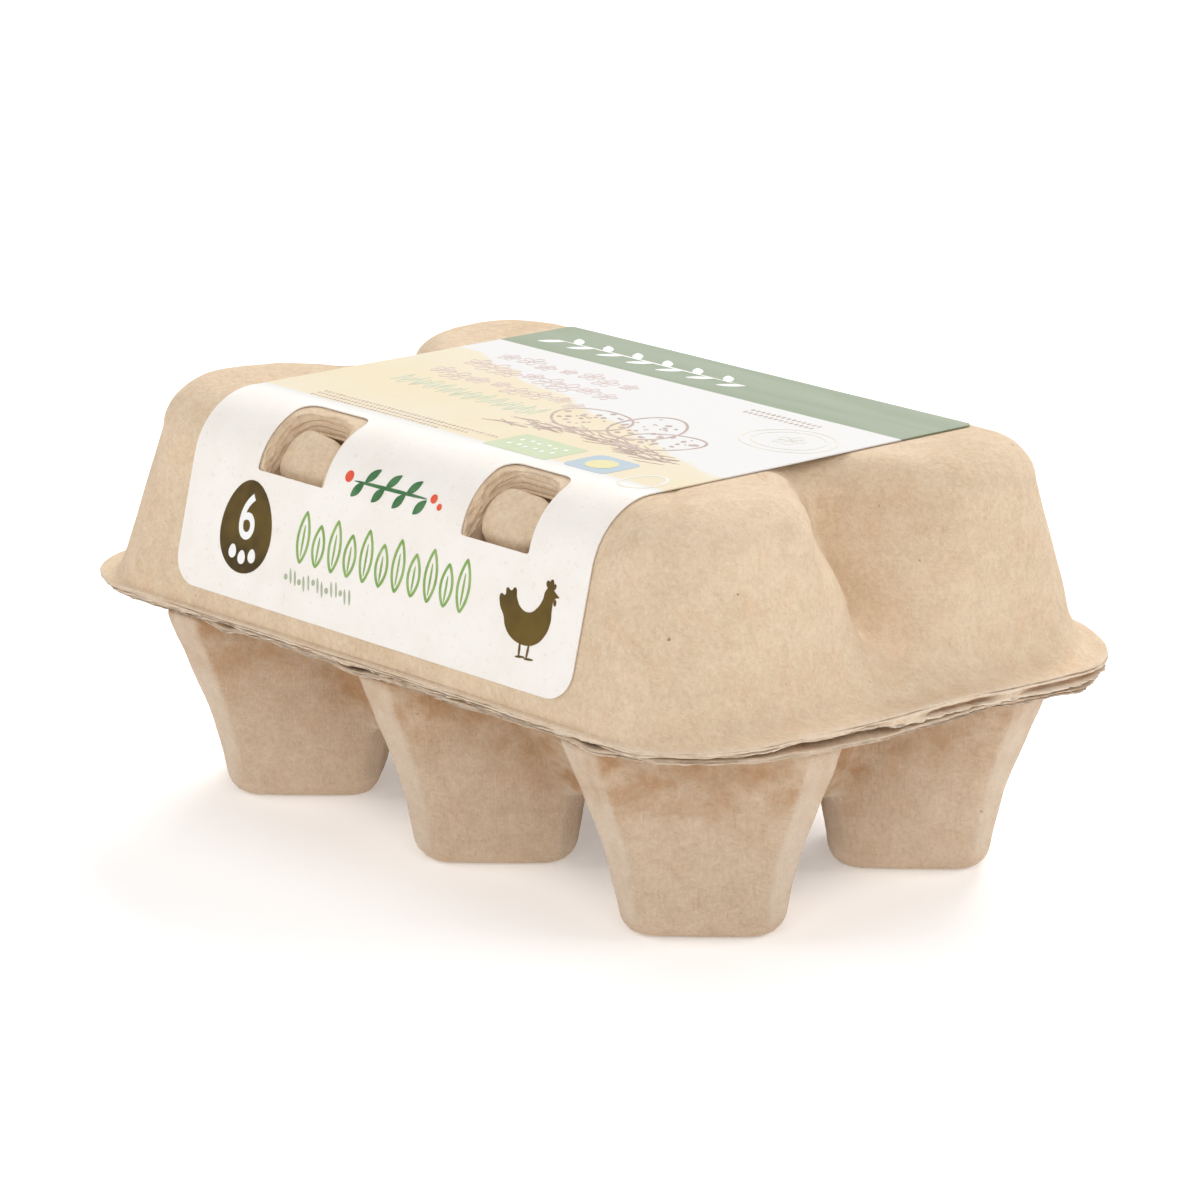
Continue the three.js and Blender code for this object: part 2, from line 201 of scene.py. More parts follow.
def bake_modifiers(piece):
    """Turns what the modifiers make into the piece's own mesh."""
    bpy.context.view_layer.update()
    graph = bpy.context.evaluated_depsgraph_get()
    data = bpy.data.meshes.new_from_object(piece.evaluated_get(graph))
    piece.modifiers.clear()
    piece.data = data


# %% [markdown]
# ## Pulp
# Moulded pulp is grey-brown paper fibre. Up close it shows soft mottling a few millimetres wide,
# short felted fibres, and a few dark specks of old print. One node group makes all of it from
# Object coordinates, so lid and tray share it and each gives its own colours.

# %% Helpers for node groups and materials
class Bench:
    """Adds nodes to a tree and wires them, with numbers or sockets as inputs."""

    def __init__(self, tree):
        self.tree = tree

    def wire(self, node, inputs):
        for key, value in dict(inputs).items():
            if isinstance(value, bpy.types.NodeSocket):
                self.tree.links.new(value, node.inputs[key])
            else:
                node.inputs[key].default_value = value

    def node(self, kind, inputs=(), **settings):
        node = self.tree.nodes.new("ShaderNode" + kind)
        for key, value in settings.items():
            setattr(node, key, value)
        self.wire(node, inputs)
        return node

    def add(self, kind, inputs=(), out=0, **settings):
        return self.node(kind, inputs, **settings).outputs[out]

    def sum(self, operation, a, b=0.0, c=0.0, clamped=False):
        return self.add("Math", {0: a, 1: b, 2: c}, operation=operation, use_clamp=clamped)

    def mix(self, amount, a, b, blend="MIX"):
        a, b = ((*colour, 1) if isinstance(colour, tuple) else colour for colour in (a, b))
        return self.add("Mix", {0: amount, 6: a, 7: b}, out=2, data_type="RGBA", blend_type=blend)

    def ramp(self, value, low, high, to_low=0.0, to_high=1.0, soft=True):
        return self.add(
            "MapRange",
            {"Value": value, "From Min": low, "From Max": high, "To Min": to_low, "To Max": to_high},
            interpolation_type="SMOOTHSTEP" if soft else "LINEAR",
        )

    def noise(self, place, scale, detail=2.0, roughness=0.5, distortion=0.0, out=0):
        values = {"Scale": scale, "Detail": detail, "Roughness": roughness, "Distortion": distortion}
        return self.add("TexNoise", {"Vector": place, **values}, out)

    def turned(self, place, turn, scale):
        values = {"Vector": place, "Rotation": turn, "Scale": scale}
        return self.add("Mapping", values, vector_type="TEXTURE")

    def bump(self, height, strength, distance=0.0002):
        return self.add("Bump", {"Strength": strength, "Distance": distance, "Height": height})


def new_group(name, inputs, outputs):
    """A node group; gives its bench, the sockets that come in and the node that ends it."""
    group = bpy.data.node_groups.new(name, "ShaderNodeTree")
    for label, kind, value in inputs:
        socket = group.interface.new_socket(label, in_out="INPUT", socket_type="NodeSocket" + kind)
        socket.default_value = value
    for label, kind in outputs:
        group.interface.new_socket(label, in_out="OUTPUT", socket_type="NodeSocket" + kind)
    start = group.nodes.new("NodeGroupInput")
    return Bench(group), start.outputs, group.nodes.new("NodeGroupOutput")


def new_material(name):
    """A material; gives also its bench, its Principled surface and its Object coordinates."""
    material = bpy.data.materials.new(name)
    material.use_nodes = True
    b = Bench(material.node_tree)
    return material, b, b.tree.nodes["Principled BSDF"], b.add("TexCoord", out="Object")


# %% The pulp group
def make_pulp_group():
    b, given, end = new_group(
        "felted_pulp",
        [("Vector", "Vector", (0, 0, 0)), ("Light", "Color", (1, 1, 1, 1)),
         ("Dark", "Color", (0.5, 0.5, 0.5, 1)), ("Mottle", "Float", 0.5)],
        [("Color", "Color"), ("Height", "Float"), ("Roughness", "Float")],
    )
    place = given["Vector"]
    cloud = b.noise(place, 40, 3)
    blotch = b.noise(place, 330, 3, 0.6, 0.6)
    grain = b.noise(place, 1300, 2, 0.65)
    dark_fibres, pale_fibres = 0.0, 0.0
    for turn, size in (((0.3, 0.5, 0.2), 6.5), ((1.4, 0.2, 1.1), 8.5), ((0.4, 1.3, 2.2), 7.5)):
        strand = b.noise(b.turned(place, turn, (size, 1.0, 1.0)), 2900, 1, 0.5, 0.9)
        dark_fibres = b.sum("MAXIMUM", dark_fibres, b.ramp(strand, 0.61, 0.75))
        pale_fibres = b.sum("MAXIMUM", pale_fibres, b.ramp(strand, 0.39, 0.27))
    tone = b.sum("MULTIPLY_ADD", b.ramp(cloud, 0.32, 0.68), 0.22, b.ramp(blotch, 0.32, 0.68, 0.0, 0.26))
    tone = b.sum("MULTIPLY_ADD", b.ramp(grain, 0.3, 0.7), 0.30, tone)
    tone = b.sum("MULTIPLY_ADD", dark_fibres, 0.30, tone)
    tone = b.sum("SUBTRACT", tone, b.sum("MULTIPLY", pale_fibres, 0.25), clamped=True)
    share = b.sum("MULTIPLY", tone, given["Mottle"], clamped=True)
    colour = b.mix(share, given["Light"], given["Dark"])
    warm = b.ramp(b.noise(place, 210), 0.52, 0.72, 0.0, 0.5)
    colour = b.mix(warm, colour, (1.0, 0.93, 0.86), "MULTIPLY")
    bend = b.add("VectorMath", {0: b.noise(place, 900, out=1), 1: (0.0009,) * 3}, operation="MULTIPLY")
    bent = b.add("VectorMath", {0: place, 1: bend}, operation="ADD")
    cells = b.node("TexVoronoi", {"Vector": bent, "Scale": 270, "Randomness": 1.0}).outputs
    size = b.ramp(b.add("SeparateColor", {0: cells["Color"]}), 0.80, 1.0, 0.0, 0.13, soft=False)
    speck = b.ramp(b.sum("SUBTRACT", size, cells["Distance"]), 0.0, 0.05)
    colour = b.mix(b.sum("MULTIPLY", speck, 0.62), colour, (0.16, 0.095, 0.045))
    height = b.sum("MULTIPLY_ADD", grain, 0.55, b.sum("MULTIPLY", blotch, 0.75))
    height = b.sum("MULTIPLY_ADD", pale_fibres, 0.30, height)
    b.wire(end, {"Color": colour, "Height": height, "Roughness": b.ramp(tone, 0, 1, 0.86, 0.97)})
    return b.tree


pulp_group = make_pulp_group()
print("pulp group with", len(pulp_group.nodes), "nodes")


# %% [markdown]
# ## The wire screen's print
# One face of moulded pulp lies on a woven wire screen while the water is sucked out, so it keeps a
# faint grid less than a millimetre wide. It shows in patches, mostly where the wall was steep.

# %% The screen group
wire_pitch = 0.8 * MM


def make_screen_group():
    b, given, end = new_group(
        "wire_screen", [("Vector", "Vector", (0, 0, 0))], [("Height", "Float"), ("Patch", "Float")],
    )
    place = given["Vector"]
    x, y, z = b.node("SeparateXYZ", {0: place}).outputs
    flat = b.sum("ADD", x, b.sum("MULTIPLY", y, 0.93))
    warp = b.noise(place, 90, 1)
    grid = 0.0
    for way, bend in ((flat, 0.0012), (z, 0.0010), (b.sum("SUBTRACT", x, y), 0.0011)):
        count = b.sum("MULTIPLY", b.sum("MULTIPLY_ADD", warp, bend, way), 2 * math.pi / wire_pitch)
        grid = b.sum("ADD", grid, b.sum("SINE", count))
    patch = b.ramp(b.noise(place, 60, 3, 0.6), 0.50, 0.68)
    b.wire(end, {"Height": b.sum("MULTIPLY_ADD", grid, 0.2, 0.5), "Patch": patch})
    return b.tree


screen_group = make_screen_group()
print("screen group with", len(screen_group.nodes), "nodes")


# %% The lid's and the tray's pulp, from the two groups
def pulp_material(name, light, dark, torn, stain, mottle, screen, bump):
    material, b, surface, place = new_material(name)
    values = {"Vector": place, "Light": (*light, 1), "Dark": (*dark, 1), "Mottle": mottle}
    pulp = b.node("Group", values, node_tree=pulp_group).outputs
    wires = b.node("Group", {"Vector": place}, node_tree=screen_group).outputs
    torn_mask, stain_mask = (b.add("Attribute", out="Fac", attribute_name=mark) for mark in ("torn", "stain"))
    # Darkening mark: brown stain on the tray, and painted shade in the rims' cracks, in the windows' lips,
    # between the cups and towards the cups' tops under the rim
    colour = b.mix(stain_mask, pulp["Color"], stain, "MULTIPLY")
    # Paling mark: torn fibres at the edges, and painted highlight on the lid's rolled edge and on the cups'
    # corner facets
    colour = b.mix(b.sum("MULTIPLY", torn_mask, 0.75), colour, torn)
    grid = b.sum("MULTIPLY", wires["Height"], b.sum("MULTIPLY", wires["Patch"], screen))
    fuzz = b.sum("MULTIPLY", torn_mask, b.noise(place, 900, 3, 0.7))
    height = b.sum("MULTIPLY_ADD", fuzz, 2.2, b.sum("ADD", pulp["Height"], grid))
    b.wire(surface, {
        "Base Color": colour, "Roughness": pulp["Roughness"], "Specular IOR Level": 0.25,
        "Sheen Weight": 0.04, "Sheen Roughness": 0.6, "Normal": b.bump(height, bump, 0.00022),
    })
    return material


# The lid's darkening colour is painted shade only, in its rim's cracks and its windows' lips; its pale colour
# is torn fibre and painted highlight
lid_pulp = pulp_material(
    "lid_pulp", light=(0.785, 0.625, 0.452), dark=(0.540, 0.375, 0.232), torn=(0.78, 0.67, 0.56),
    stain=(0.44, 0.30, 0.19), mottle=0.8, screen=0.22, bump=0.55,
)
# The tray's darkening colour is brown stain and painted shade together; its pale colour is torn fibre and
# painted highlight on the cups' corner facets
tray_pulp = pulp_material(
    "tray_pulp", light=(0.700, 0.555, 0.415), dark=(0.470, 0.335, 0.215), torn=(0.69, 0.59, 0.49),
    stain=(0.74, 0.57, 0.42), mottle=0.85, screen=0.38, bump=0.65,
)
print("pulp materials", lid_pulp.name, tray_pulp.name)

# %% [markdown]
# ## The section that the label lies on
# The front panel leans back, turns over a round edge and becomes the flat top. The panel, the label
# and everything printed on it follow this one section, measured along the paper from its lower edge.

# %% A point of the section at distance s along the paper
def unit(y, z):
    length = math.hypot(y, z)
    return (y / length, z / length)


panel_way = unit(panel_fold[0] - panel_foot[0], panel_fold[1] - panel_foot[1])
top_way = unit(top_back[0] - panel_fold[0], top_back[1] - panel_fold[1])
panel_out = (-panel_way[1], panel_way[0])
top_out = (-top_way[1], top_way[0])
panel_angle = math.atan2(panel_out[1], panel_out[0])
turn_angle = panel_angle - math.atan2(top_out[1], top_out[0])
fold_reach = fold_radius * math.tan(turn_angle / 2)
fold_start = math.dist(panel_foot, panel_fold) - fold_reach
fold_end = fold_start + fold_radius * turn_angle
sheet_length = fold_end + math.dist(panel_fold, top_back) - fold_reach


def section(s, out=0.0):
    if s <= fold_start:
        return tuple(panel_foot[k] + panel_way[k] * s + panel_out[k] * out for k in (0, 1))
    if s >= fold_end:
        reach = fold_reach + s - fold_end
        return tuple(panel_fold[k] + top_way[k] * reach + top_out[k] * out for k in (0, 1))
    centre = [panel_fold[k] - panel_way[k] * fold_reach - panel_out[k] * fold_radius for k in (0, 1)]
    a = panel_angle - (s - fold_start) / fold_radius
    return (centre[0] + (fold_radius + out) * math.cos(a), centre[1] + (fold_radius + out) * math.sin(a))


print(f"fold from {fold_start:.1f} to {fold_end:.1f} mm of a sheet {sheet_length:.1f} mm long")

# %% [markdown]
# ## The lid
# The lid is one pulp shell: a flat rim with a torn, layered edge, leaning walls, a deep valley in
# each end between two egg-shaped bulges, and a top that closes over the eggs. The rings run from the
# rim's underside to the middle of the top. The edge is given plies, because a cut through felted
# pulp always splits into layers.

# %% Walls, valleys and top of the lid
wall_foot = 38.0
end_wall, end_lean = 70.8, 0.20  # how far out the end walls stand at their foot, and how they lean in
back_wall, back_lean = 47.8, 0.13
bulge_y, bulge_x, bulge_rise = (-29, 30), 57, 1.1  # where the top rises over the bulges
valley_floor = [  # height, and the valley's depth there
    (38.3, 0.2), (39.6, 2.2), (41, 6.2), (43, 10.4), (46, 13.4), (50, 15.9), (56, 17.8), (62, 18.4),
    (70, 18.8),
]
valley_centre = 2.0
valley_soft = 1.6  # rounding of its floor
egg_radius = 21.5


def top_height(x, y):
    z = lerp(panel_fold[1], top_back[1], (y - panel_fold[0]) / (top_back[0] - panel_fold[0]))
    beyond = smooth(label_half + 0.5, label_half + 6, abs(x))
    return z + bulge_rise * beyond * gauss(abs(x), bulge_x, 9.5) * sum(gauss(y, cy, 11) for cy in bulge_y)


def valley_share(y, z):
    soft, full = math.hypot(y - valley_centre, valley_soft), 0.985
    t = full * clamp((egg_radius - soft) / (egg_radius - valley_soft))
    groove = (1 - math.sqrt(1 - t * t)) / (1 - math.sqrt(1 - full**2))
    dip = math.cos(clamp(abs(y - valley_centre) / egg_radius) * quarter) ** 2.4
    return lerp(groove, dip, smooth(50, 65, z))


def wall_ring(z, inward=0.0):
    half = end_wall - end_lean * (z - wall_foot) - inward
    share = (z - panel_foot[1]) / (panel_fold[1] - panel_foot[1])
    widest = rim["half_width"] - 0.9
    front = min(-lerp(panel_foot[0], panel_fold[0], share) - inward * 0.55, widest)
    back = min(back_wall - back_lean * (z - wall_foot) - inward * 0.55, widest)
    rise = smooth(wall_foot, 62, z)
    ring = []
    for x, y in rounded(half, front, back, 15 + 2 * rise - inward * 0.75, *around):
        corner = smooth(label_half + 1.3, label_half + 11, abs(x)) * smooth(10, -30, y)
        by = y - corner * 1.2 * rise
        depth = valley_share(by, z) * through(valley_floor, z) * smooth(half - 20, half - 6, abs(x))
        ring.append((x - math.copysign(depth, x), by, z))
    return ring


# %% The rims' torn edge, ply by ply
deep = -0.8  # a ply that reaches less far than this is the bottom of a crack


def torn_rim(measures, plies, wave, seed):
    """Rings of a felted edge around the carton; how pale each point is painted, for torn fibres and painted
    highlight; and how dark, as painted shade in the cracks.

    A ply row is (height, reach, raggedness, crack number, paleness for torn fibres and painted highlight). A
    crack comes and goes, and wanders.
    """
    half_length, half_width = measures["half_length"], measures["half_width"]
    rings, torn, dark = [], [], []
    for number, (z, grow, ragged, crack, fuzz) in enumerate(plies):
        for rows in (rings, torn, dark):
            rows.append([])
        for x, y in rounded(half_length, half_width, half_width, rim["corner"], *around):
            wear_and_sheen = rim_wear(x, y)
            fray = felt(
                x, y, 0, (0.45, 4.5, seed + number), (0.40, 1.5, seed + number * 3.1),
                (0.25, 0.7, seed + number * 5.3),
            )
            tear = smooth(0.18, 0.5, rough(x, y, 0, 8.0, seed + 50)) * ragged
            bite = clamp(0.45 + 1.3 * fray) * ragged * (1 + 0.5 * wear_and_sheen) + 0.7 * tear
            reach, shade = grow, 0.0
            lift = ragged * felt(x, y, 0, (0.30, 7.0, seed + 70), (0.16, 1.8, seed + 77))
            if ragged:
                lift += 0.08 * rough(x, y, 0, 2.0, seed + 9 + number)
            if crack:
                here = smooth(-0.28, 0.22, rough(x, y, 0, 15, seed + crack * 29.0) + 0.5 * wear_and_sheen)
                if grow < deep:
                    reach = lerp(-0.12, grow, here)
                lift += 0.16 * rough(x, y, 0, 12, seed + crack * 17.0)
                # A crack's deepest plies are painted dark, as painted shade in the crack, and the plies
                # beside it a little
                shade = (0.9 if grow < deep else 0.15) * here
            far = math.hypot(x / half_length, y / half_width)
            move = reach - bite
            rings[-1].append((
                x + x / half_length / far * move, y + y / half_width / far * move,
                z + lift + wave(x, y, z) * smooth(-6, -1.6, grow),
            ))
            # How pale the ply is painted: torn fibres, and on the upper plies painted highlight
            torn[-1].append(fuzz * clamp(0.75 + 0.5 * rough(x, y, z, 3.0, seed + 3)))
            dark[-1].append(shade)
    return rings, torn, dark


# The rims' height along the right end: y, and how far the edge stands above its place
lid_end = [
    (-50, 1.0), (-40, 1.1), (-31, 0.9), (-20, 0.4), (-10, 0.0), (7, -0.4), (19, -1.2), (30, -1.7),
    (43, -2.0),
]
tray_end = [
    (-50, 1.0), (-40, 0.6), (-31, -0.2), (-20, -1.2), (-10, -1.7), (0, -1.8), (11, -1.8), (19, -2.4),
    (27, -3.2), (37, -3.8), (50, -3.8),
]


def end_height(rows, x, y):
    """The right end was pressed out of level: up at the front corner, down at the back one."""
    return through(rows, y) * smooth(56, 76, x)


def lid_wave(x, y, z):
    sag = 1.2 * smooth(36.0, 35.3, z) * smooth(-22, 2, y) * smooth(60, 76, x)
    return end_height(lid_end, x, y) - sag + 0.12 * rough(x, y, 0, 26, 4.0)


def rim_wear(x, y):
    """The corner at the back right is the most worn, and the one at the front right the least."""
    return smooth(52, 72, x) * smooth(12, 40, y) - 0.6 * smooth(25, 60, x) * smooth(0, -28, y)


# %% Build the lid
# The last column pales the edge: torn fibres, and on the upper plies, which face outward and up, painted
# highlight
lid_plies = [
    (35.46, -6.0, 0.0, 0, 0.0), (35.26, -1.6, 0.3, 0, 0.6), (35.16, -0.55, 1.0, 0, 1.0),
    (35.28, -0.26, 1.2, 0, 1.0), (35.46, -0.16, 1.0, 1, 1.0), (35.56, -1.50, 0.3, 1, 0.3),
    (35.72, -1.45, 0.3, 1, 0.3), (35.82, -0.10, 0.45, 1, 0.6), (36.02, -0.02, 0.28, 0, 0.8),
    (36.12, -0.04, 0.22, 2, 0.7), (36.17, -1.20, 0.1, 2, 0.1), (36.25, -1.15, 0.1, 2, 0.1),
    (36.30, -0.04, 0.16, 2, 0.6), (36.45, -0.12, 0.10, 0, 0.6), (36.57, -0.36, 0.04, 0, 0.4),
    (36.66, -0.66, 0.0, 0, 0.25), (36.72, -1.05, 0.0, 0, 0.1),
]
rim_fillet = [  # height, and how far the ring stands out of the wall
    (36.95, 2.9), (37.2, 2.0), (37.65, 1.3), (38.3, 0.8), (39.2, 0.4), (40.2, 0.15),
]
wall_heights = (41, 42, 43, 44.1, 45.3, 46.6, 48, 49.5, 51, 52.7, 54.4, 56.1, 57.8)
shoulder = {"low": 62, "high": 68, "inward": 9, "turn": 84, "steps": 18}  # from the walls to the top
crown_steps = 12


def low_ring(z, outward=0.0):
    """A ring of the wall that follows the rim's uneven height."""
    ring = wall_ring(z, -outward)
    return [(x, y, h + end_height(lid_end, x, y) * smooth(45, 36.9, h)) for x, y, h in ring]


def shoulder_ring(low, high, t):
    """A ring of the turn into the top; in front it follows the label's section."""
    a = math.radians(shoulder["turn"] * t)
    fold = section(lerp(fold_start - 0.5, fold_end + 0.5, t))
    ring = []
    for p, q in zip(low, high):
        x, y = (lerp(p[i], q[i], 1 - math.cos(a)) for i in (0, 1))
        z = lerp(shoulder["low"], top_height(x, y), math.sin(a))
        front = smooth(label_half + 9.8, label_half + 1.8, abs(x)) if y < -20 else 0
        ring.append((x, lerp(y, fold[0], front), lerp(z, fold[1], front)))
    return ring


def crown_ring(crest, t):
    """A ring between the shoulder's last one and the top's middle line."""
    ring = []
    for x, y, z in crest:
        px, py = lerp(x, max(-25, min(25, x)), t), lerp(y, valley_centre, t)
        ring.append((px, py, top_height(px, py) + lerp(z - top_height(x, y), 0, smooth(0, 0.3, t))))
    return ring


def lid_rings():
    rings, torn, dark = torn_rim(rim, lid_plies, lid_wave, 1.0)
    fillet = [low_ring(z, outward) for z, outward in rim_fillet]
    rings.append([tuple(lerp(a[k], b[k], 0.5) for k in (0, 1, 2)) for a, b in zip(rings[-1], fillet[0])])
    rings += fillet + [low_ring(z) for z in wall_heights]
    low, high = wall_ring(shoulder["low"]), wall_ring(shoulder["high"], shoulder["inward"])
    rings += [shoulder_ring(low, high, k / shoulder["steps"]) for k in range(shoulder["steps"] + 1)]
    crest = rings[-1]
    rings += [crown_ring(crest, ((k + 1) / crown_steps) ** 1.25) for k in range(crown_steps)]
    return rings, torn, dark


def push(bm, amount):
    """Moves each point along its normal by amount(x, y, z) millimetres."""
    bm.normal_update()
    moves = [v.normal * amount(*(v.co / MM)) * MM for v in bm.verts]
    for v, move in zip(bm.verts, moves):
        v.co += move


def dent(bm, amount, keep):
    """Pushes the skin in by soft noise, as drying and handling do; keep(x, y, z) spares places."""
    def depth(x, y, z):
        soft = clamp(0.55 + felt(x, y, z, (0.45, 17, 2.0), (0.30, 6, 5.0)))
        return -(soft + 0.16 * rough(x, y, z, 2.4, 8.0)) * amount * keep(x, y, z)

    bmesh.ops.recalc_face_normals(bm, faces=bm.faces)
    push(bm, depth)


def build_lid():
    bm = bmesh.new()
    rings, torn, dark = lid_rings()
    skin(bm, rings, close_last=False, torn=torn, stain=dark)
    bmesh.ops.remove_doubles(bm, verts=bm.verts, dist=1e-6)
    dent(bm, 0.35, lambda x, y, z: smooth(37, 40, z) * (0.15 if abs(x) < label_half + 2 and y < 42 else 1))
    return finish_piece("lid_shell", bm, lid_pulp, "lid_pulp", stands_for=["lid"])


lid = build_lid()

# %% [markdown]
# ## Windows
# Two windows are pressed through the fold, and the pulp around them is pulled inwards into a short
# funnel. A cutter with the funnel's own stepped rings is subtracted, so the steps stay as the layered
# lip that shows above each knob.

# %% Cut the two windows
fold_out = unit(panel_out[0] + top_out[0], panel_out[1] + top_out[1])
fold_up = (fold_out[1], -fold_out[0])
fold_middle = section((fold_start + fold_end) / 2)


def arch(x0, half, low, high, round_top, round_low, out, lean=0.0, fray=0.0, seed=0.0, tilt=0.0):
    """A round-topped window outline, square to the fold, at a depth of out."""
    top, foot = high - round_top, low + round_low
    points = arc(half - round_top, top, round_top, 0, 12)
    points += arc(-half + round_top, top, round_top, quarter, 12)
    points += straight(points[-1], (-half, foot), 10, 1)
    points += arc(-half + round_low, foot, round_low, math.pi, 4)
    points += straight(points[-1], (half - round_low, low), 14, 1)
    points += arc(half - round_low, foot, round_low, 1.5 * math.pi, 4)
    points += straight(points[-1], (half, top), 10, 1)
    ring = []
    for x, v in points:
        grow = 1 + fray * rough(x, v, out, 2.0, seed)
        x, v = x * grow, v * grow + tilt * x * max(0, v) / 2
        height = out + lean * v
        ring.append((x0 + x, *(fold_middle[k] + fold_up[k] * v + fold_out[k] * height for k in (0, 1))))
    return ring


# Depth below the face, how far the funnel has closed at the top and at the left by then, and
# whether a line of painted shade runs between two plies there
funnel = [
    (-8.5, 2.0, 1.3, 1), (-4.2, 2.0, 1.3, 1), (-3.9, 2.5, 1.3, 0), (-3.5, 2.55, 1.25, 0), (-3.3, 2.2, 1.2, 1),
    (-3.05, 2.15, 1.1, 0), (-2.75, 1.95, 1.0, 0), (-2.6, 1.65, 0.95, 1), (-2.3, 1.6, 0.85, 0),
    (-2.0, 1.4, 0.75, 0), (-1.85, 1.1, 0.7, 1), (-1.55, 1.05, 0.6, 0), (-1.25, 0.85, 0.48, 0),
    (-1.1, 0.6, 0.4, 1), (-0.8, 0.55, 0.3, 0), (-0.5, 0.3, 0.18, 0), (-0.2, 0.0, 0.0, 0), (12.0, 0.0, 0.0, 0),
]


def funnel_cutter(x0, number):
    rings, torn, dark = [], [], []
    for depth, top, slope, line in funnel:
        left = slope * (0.45 if number else 1.0)
        right = 0.25 * left
        ring = arch(
            x0 + (left - right) / 2, window["half"] - (left + right) / 2, window_low[number],
            window["high"] - top, window["round_top"] - 0.1 * top, window["round_low"], depth,
            fray=0.05 if depth < -0.3 else 0.0, seed=number * 5 + depth,
        )
        lip = [smooth(fold_middle[1] - 0.5, fold_middle[1] + 1.0, z) if depth < 0 else 0 for _, _, z in ring]
        rings.append(ring)
        torn.append([0.5 * up for up in lip])
        # The lip is paled as torn pulp, and each marked step gets a line of painted shade
        dark.append([line * up * clamp(0.6 + 1.6 * rough(*p, 1.8, number)) for up, p in zip(lip, ring)])
    bm = bmesh.new()
    skin(bm, rings, torn=torn, stain=dark)
    bmesh.ops.recalc_face_normals(bm, faces=bm.faces)
    return object_of("cutter", bm)


def cut_windows(piece):
    tools = [funnel_cutter(x, i) for i, x in enumerate(window_x)]
    for tool in tools:
        step = piece.modifiers.new("window", "BOOLEAN")
        step.object, step.solver = tool, "EXACT"
    bake_modifiers(piece)
    for tool in tools:
        bpy.data.objects.remove(tool)
    print("lid with windows", len(piece.data.polygons), "faces")


cut_windows(lid)

# %% [markdown]
# ## Lock knobs
# A tongue of the tray stands behind the front panel, and its two knobs snap into the windows. Each
# knob is a shallow round-topped pad whose face follows the panel, with a dark gap above it.

# %% Build the knobs
knob_high, knob_lean = 2.1, 0.26
knob_profile = [  # how far out of the face each ring lies, and how far it has shrunk
    (-8.1, 0.0), (-4.0, 0.0), (-3.1, 0.05), (-2.5, 0.18), (-2.0, 0.42), (-1.65, 0.8), (-1.35, 1.3),
    (-1.15, 1.9), (-1.02, 2.6), (-0.95, 3.2),
]


def build_knob(name, node, x0, low, half, round_low, tilt, seed):
    bm = bmesh.new()
    skin(bm, [
        arch(
            x0, half - shrink, low + shrink, knob_high - shrink, max(4.6 - shrink, 0.8),
            max(round_low - shrink, 0.4), out, knob_lean, 0.006, seed, tilt,
        ) for out, shrink in knob_profile
    ])
    dent(bm, 0.2, lambda x, y, z: 1)
    finish_piece(name, bm, lid_pulp, "lid_pulp", stands_for=[node])


build_knob("knob_pad_left", "lock_knob_left", window_x[0] + 0.35, -7.1, 6.85, 3.4, -0.12, 3.0)
build_knob("knob_pad_right", "lock_knob_right", window_x[1] + 0.1, -7.4, 7.2, 4.4, -0.05, 6.0)

# %% [markdown]
# ## The tray
# Each cup is a square funnel standing on its corner, so its broad faces look out diagonally. Cups,
# the bridges between them and the sheet they hang from are separate closed skins that overlap. A
# voxel remesh melts them into one, and a little smoothing gives the soft inside corners of pulp.

# %% Cups, bridges and the sheet above them
foot_rounding = [(0, 3.3), (0.35, 2.2), (0.9, 1.3), (1.7, 0.65), (2.7, 0.2), (4.0, 0.0)]
cup_heights = (0, 0.35, 0.9, 1.7, 2.7, 4, 5.5, 7, 9, 11, 13, 15, 17, 20, 23, 26, 29, 32, 34.6)
face_swell = 0.25  # how far a cup's broad faces bulge
bridge_widths = ((13.5, 1.7), (14.5, 3.0), (23.5, 7.8), (34.6, 15.6))
sheet_inset, sheet_levels = 3.9, (33.6, 35.1)


def cup_place(i, j):
    return (i * cup["pitch_x"] + tray_shift[0], j * cup["pitch_y"] + tray_shift[1])


cup_places = [cup_place(i, j) for i in (-1, 0, 1) for j in (-0.5, 0.5)]
saddles = [cup_place(i, j) + (True,) for i in (-0.5, 0.5) for j in (-0.5, 0.5)]
saddles += [cup_place(i, 0) + (False,) for i in (-1, 0, 1)]  # x, y and whether it runs along x


def facet_corner(cx, cy, tip, a, facet, r):
    """Points of one corner: a narrow flat facet between two soft creases."""
    reach = math.sqrt(2) * a - facet / 2 - r  # how far out the facet stands
    aside = reach - math.sqrt(2) * (a - r)
    out, along = (math.cos(tip), math.sin(tip)), (-math.sin(tip), math.cos(tip))
    points = []
    for side, start in ((1, tip - math.pi / 4), (-1, tip)):
        for j in range(6):
            t = start + j / 5 * math.pi / 4
            x = cx + out[0] * reach + along[0] * side * aside + r * math.cos(t)
            points.append((x, cy + out[1] * reach + along[1] * side * aside + r * math.sin(t)))
    return points


def cup_rings(cx, cy):
    rings = []
    for z in cup_heights:
        foot = through(foot_rounding, z)
        a, facet = through(cup_half, z) - foot, cup["facet"] + cup["facet_growth"] * z - 0.4 * foot
        corners = [facet_corner(cx, cy, k * quarter, a, facet, cup["crease"]) for k in range(4)]
        ring = []
        for k, corner in enumerate(corners):
            ring += [(x, y, z) for x, y in corner]
            p, q = corner[-1], corners[(k + 1) % 4][0]
            middle = (k + 0.5) * quarter
            for j in range(1, 10):
                swell = face_swell * math.sin(math.pi * j / 10)
                ring.append((
                    lerp(p[0], q[0], j / 10) + swell * math.cos(middle),
                    lerp(p[1], q[1], j / 10) + swell * math.sin(middle), z,
                ))
        rings.append(ring)
    return rings


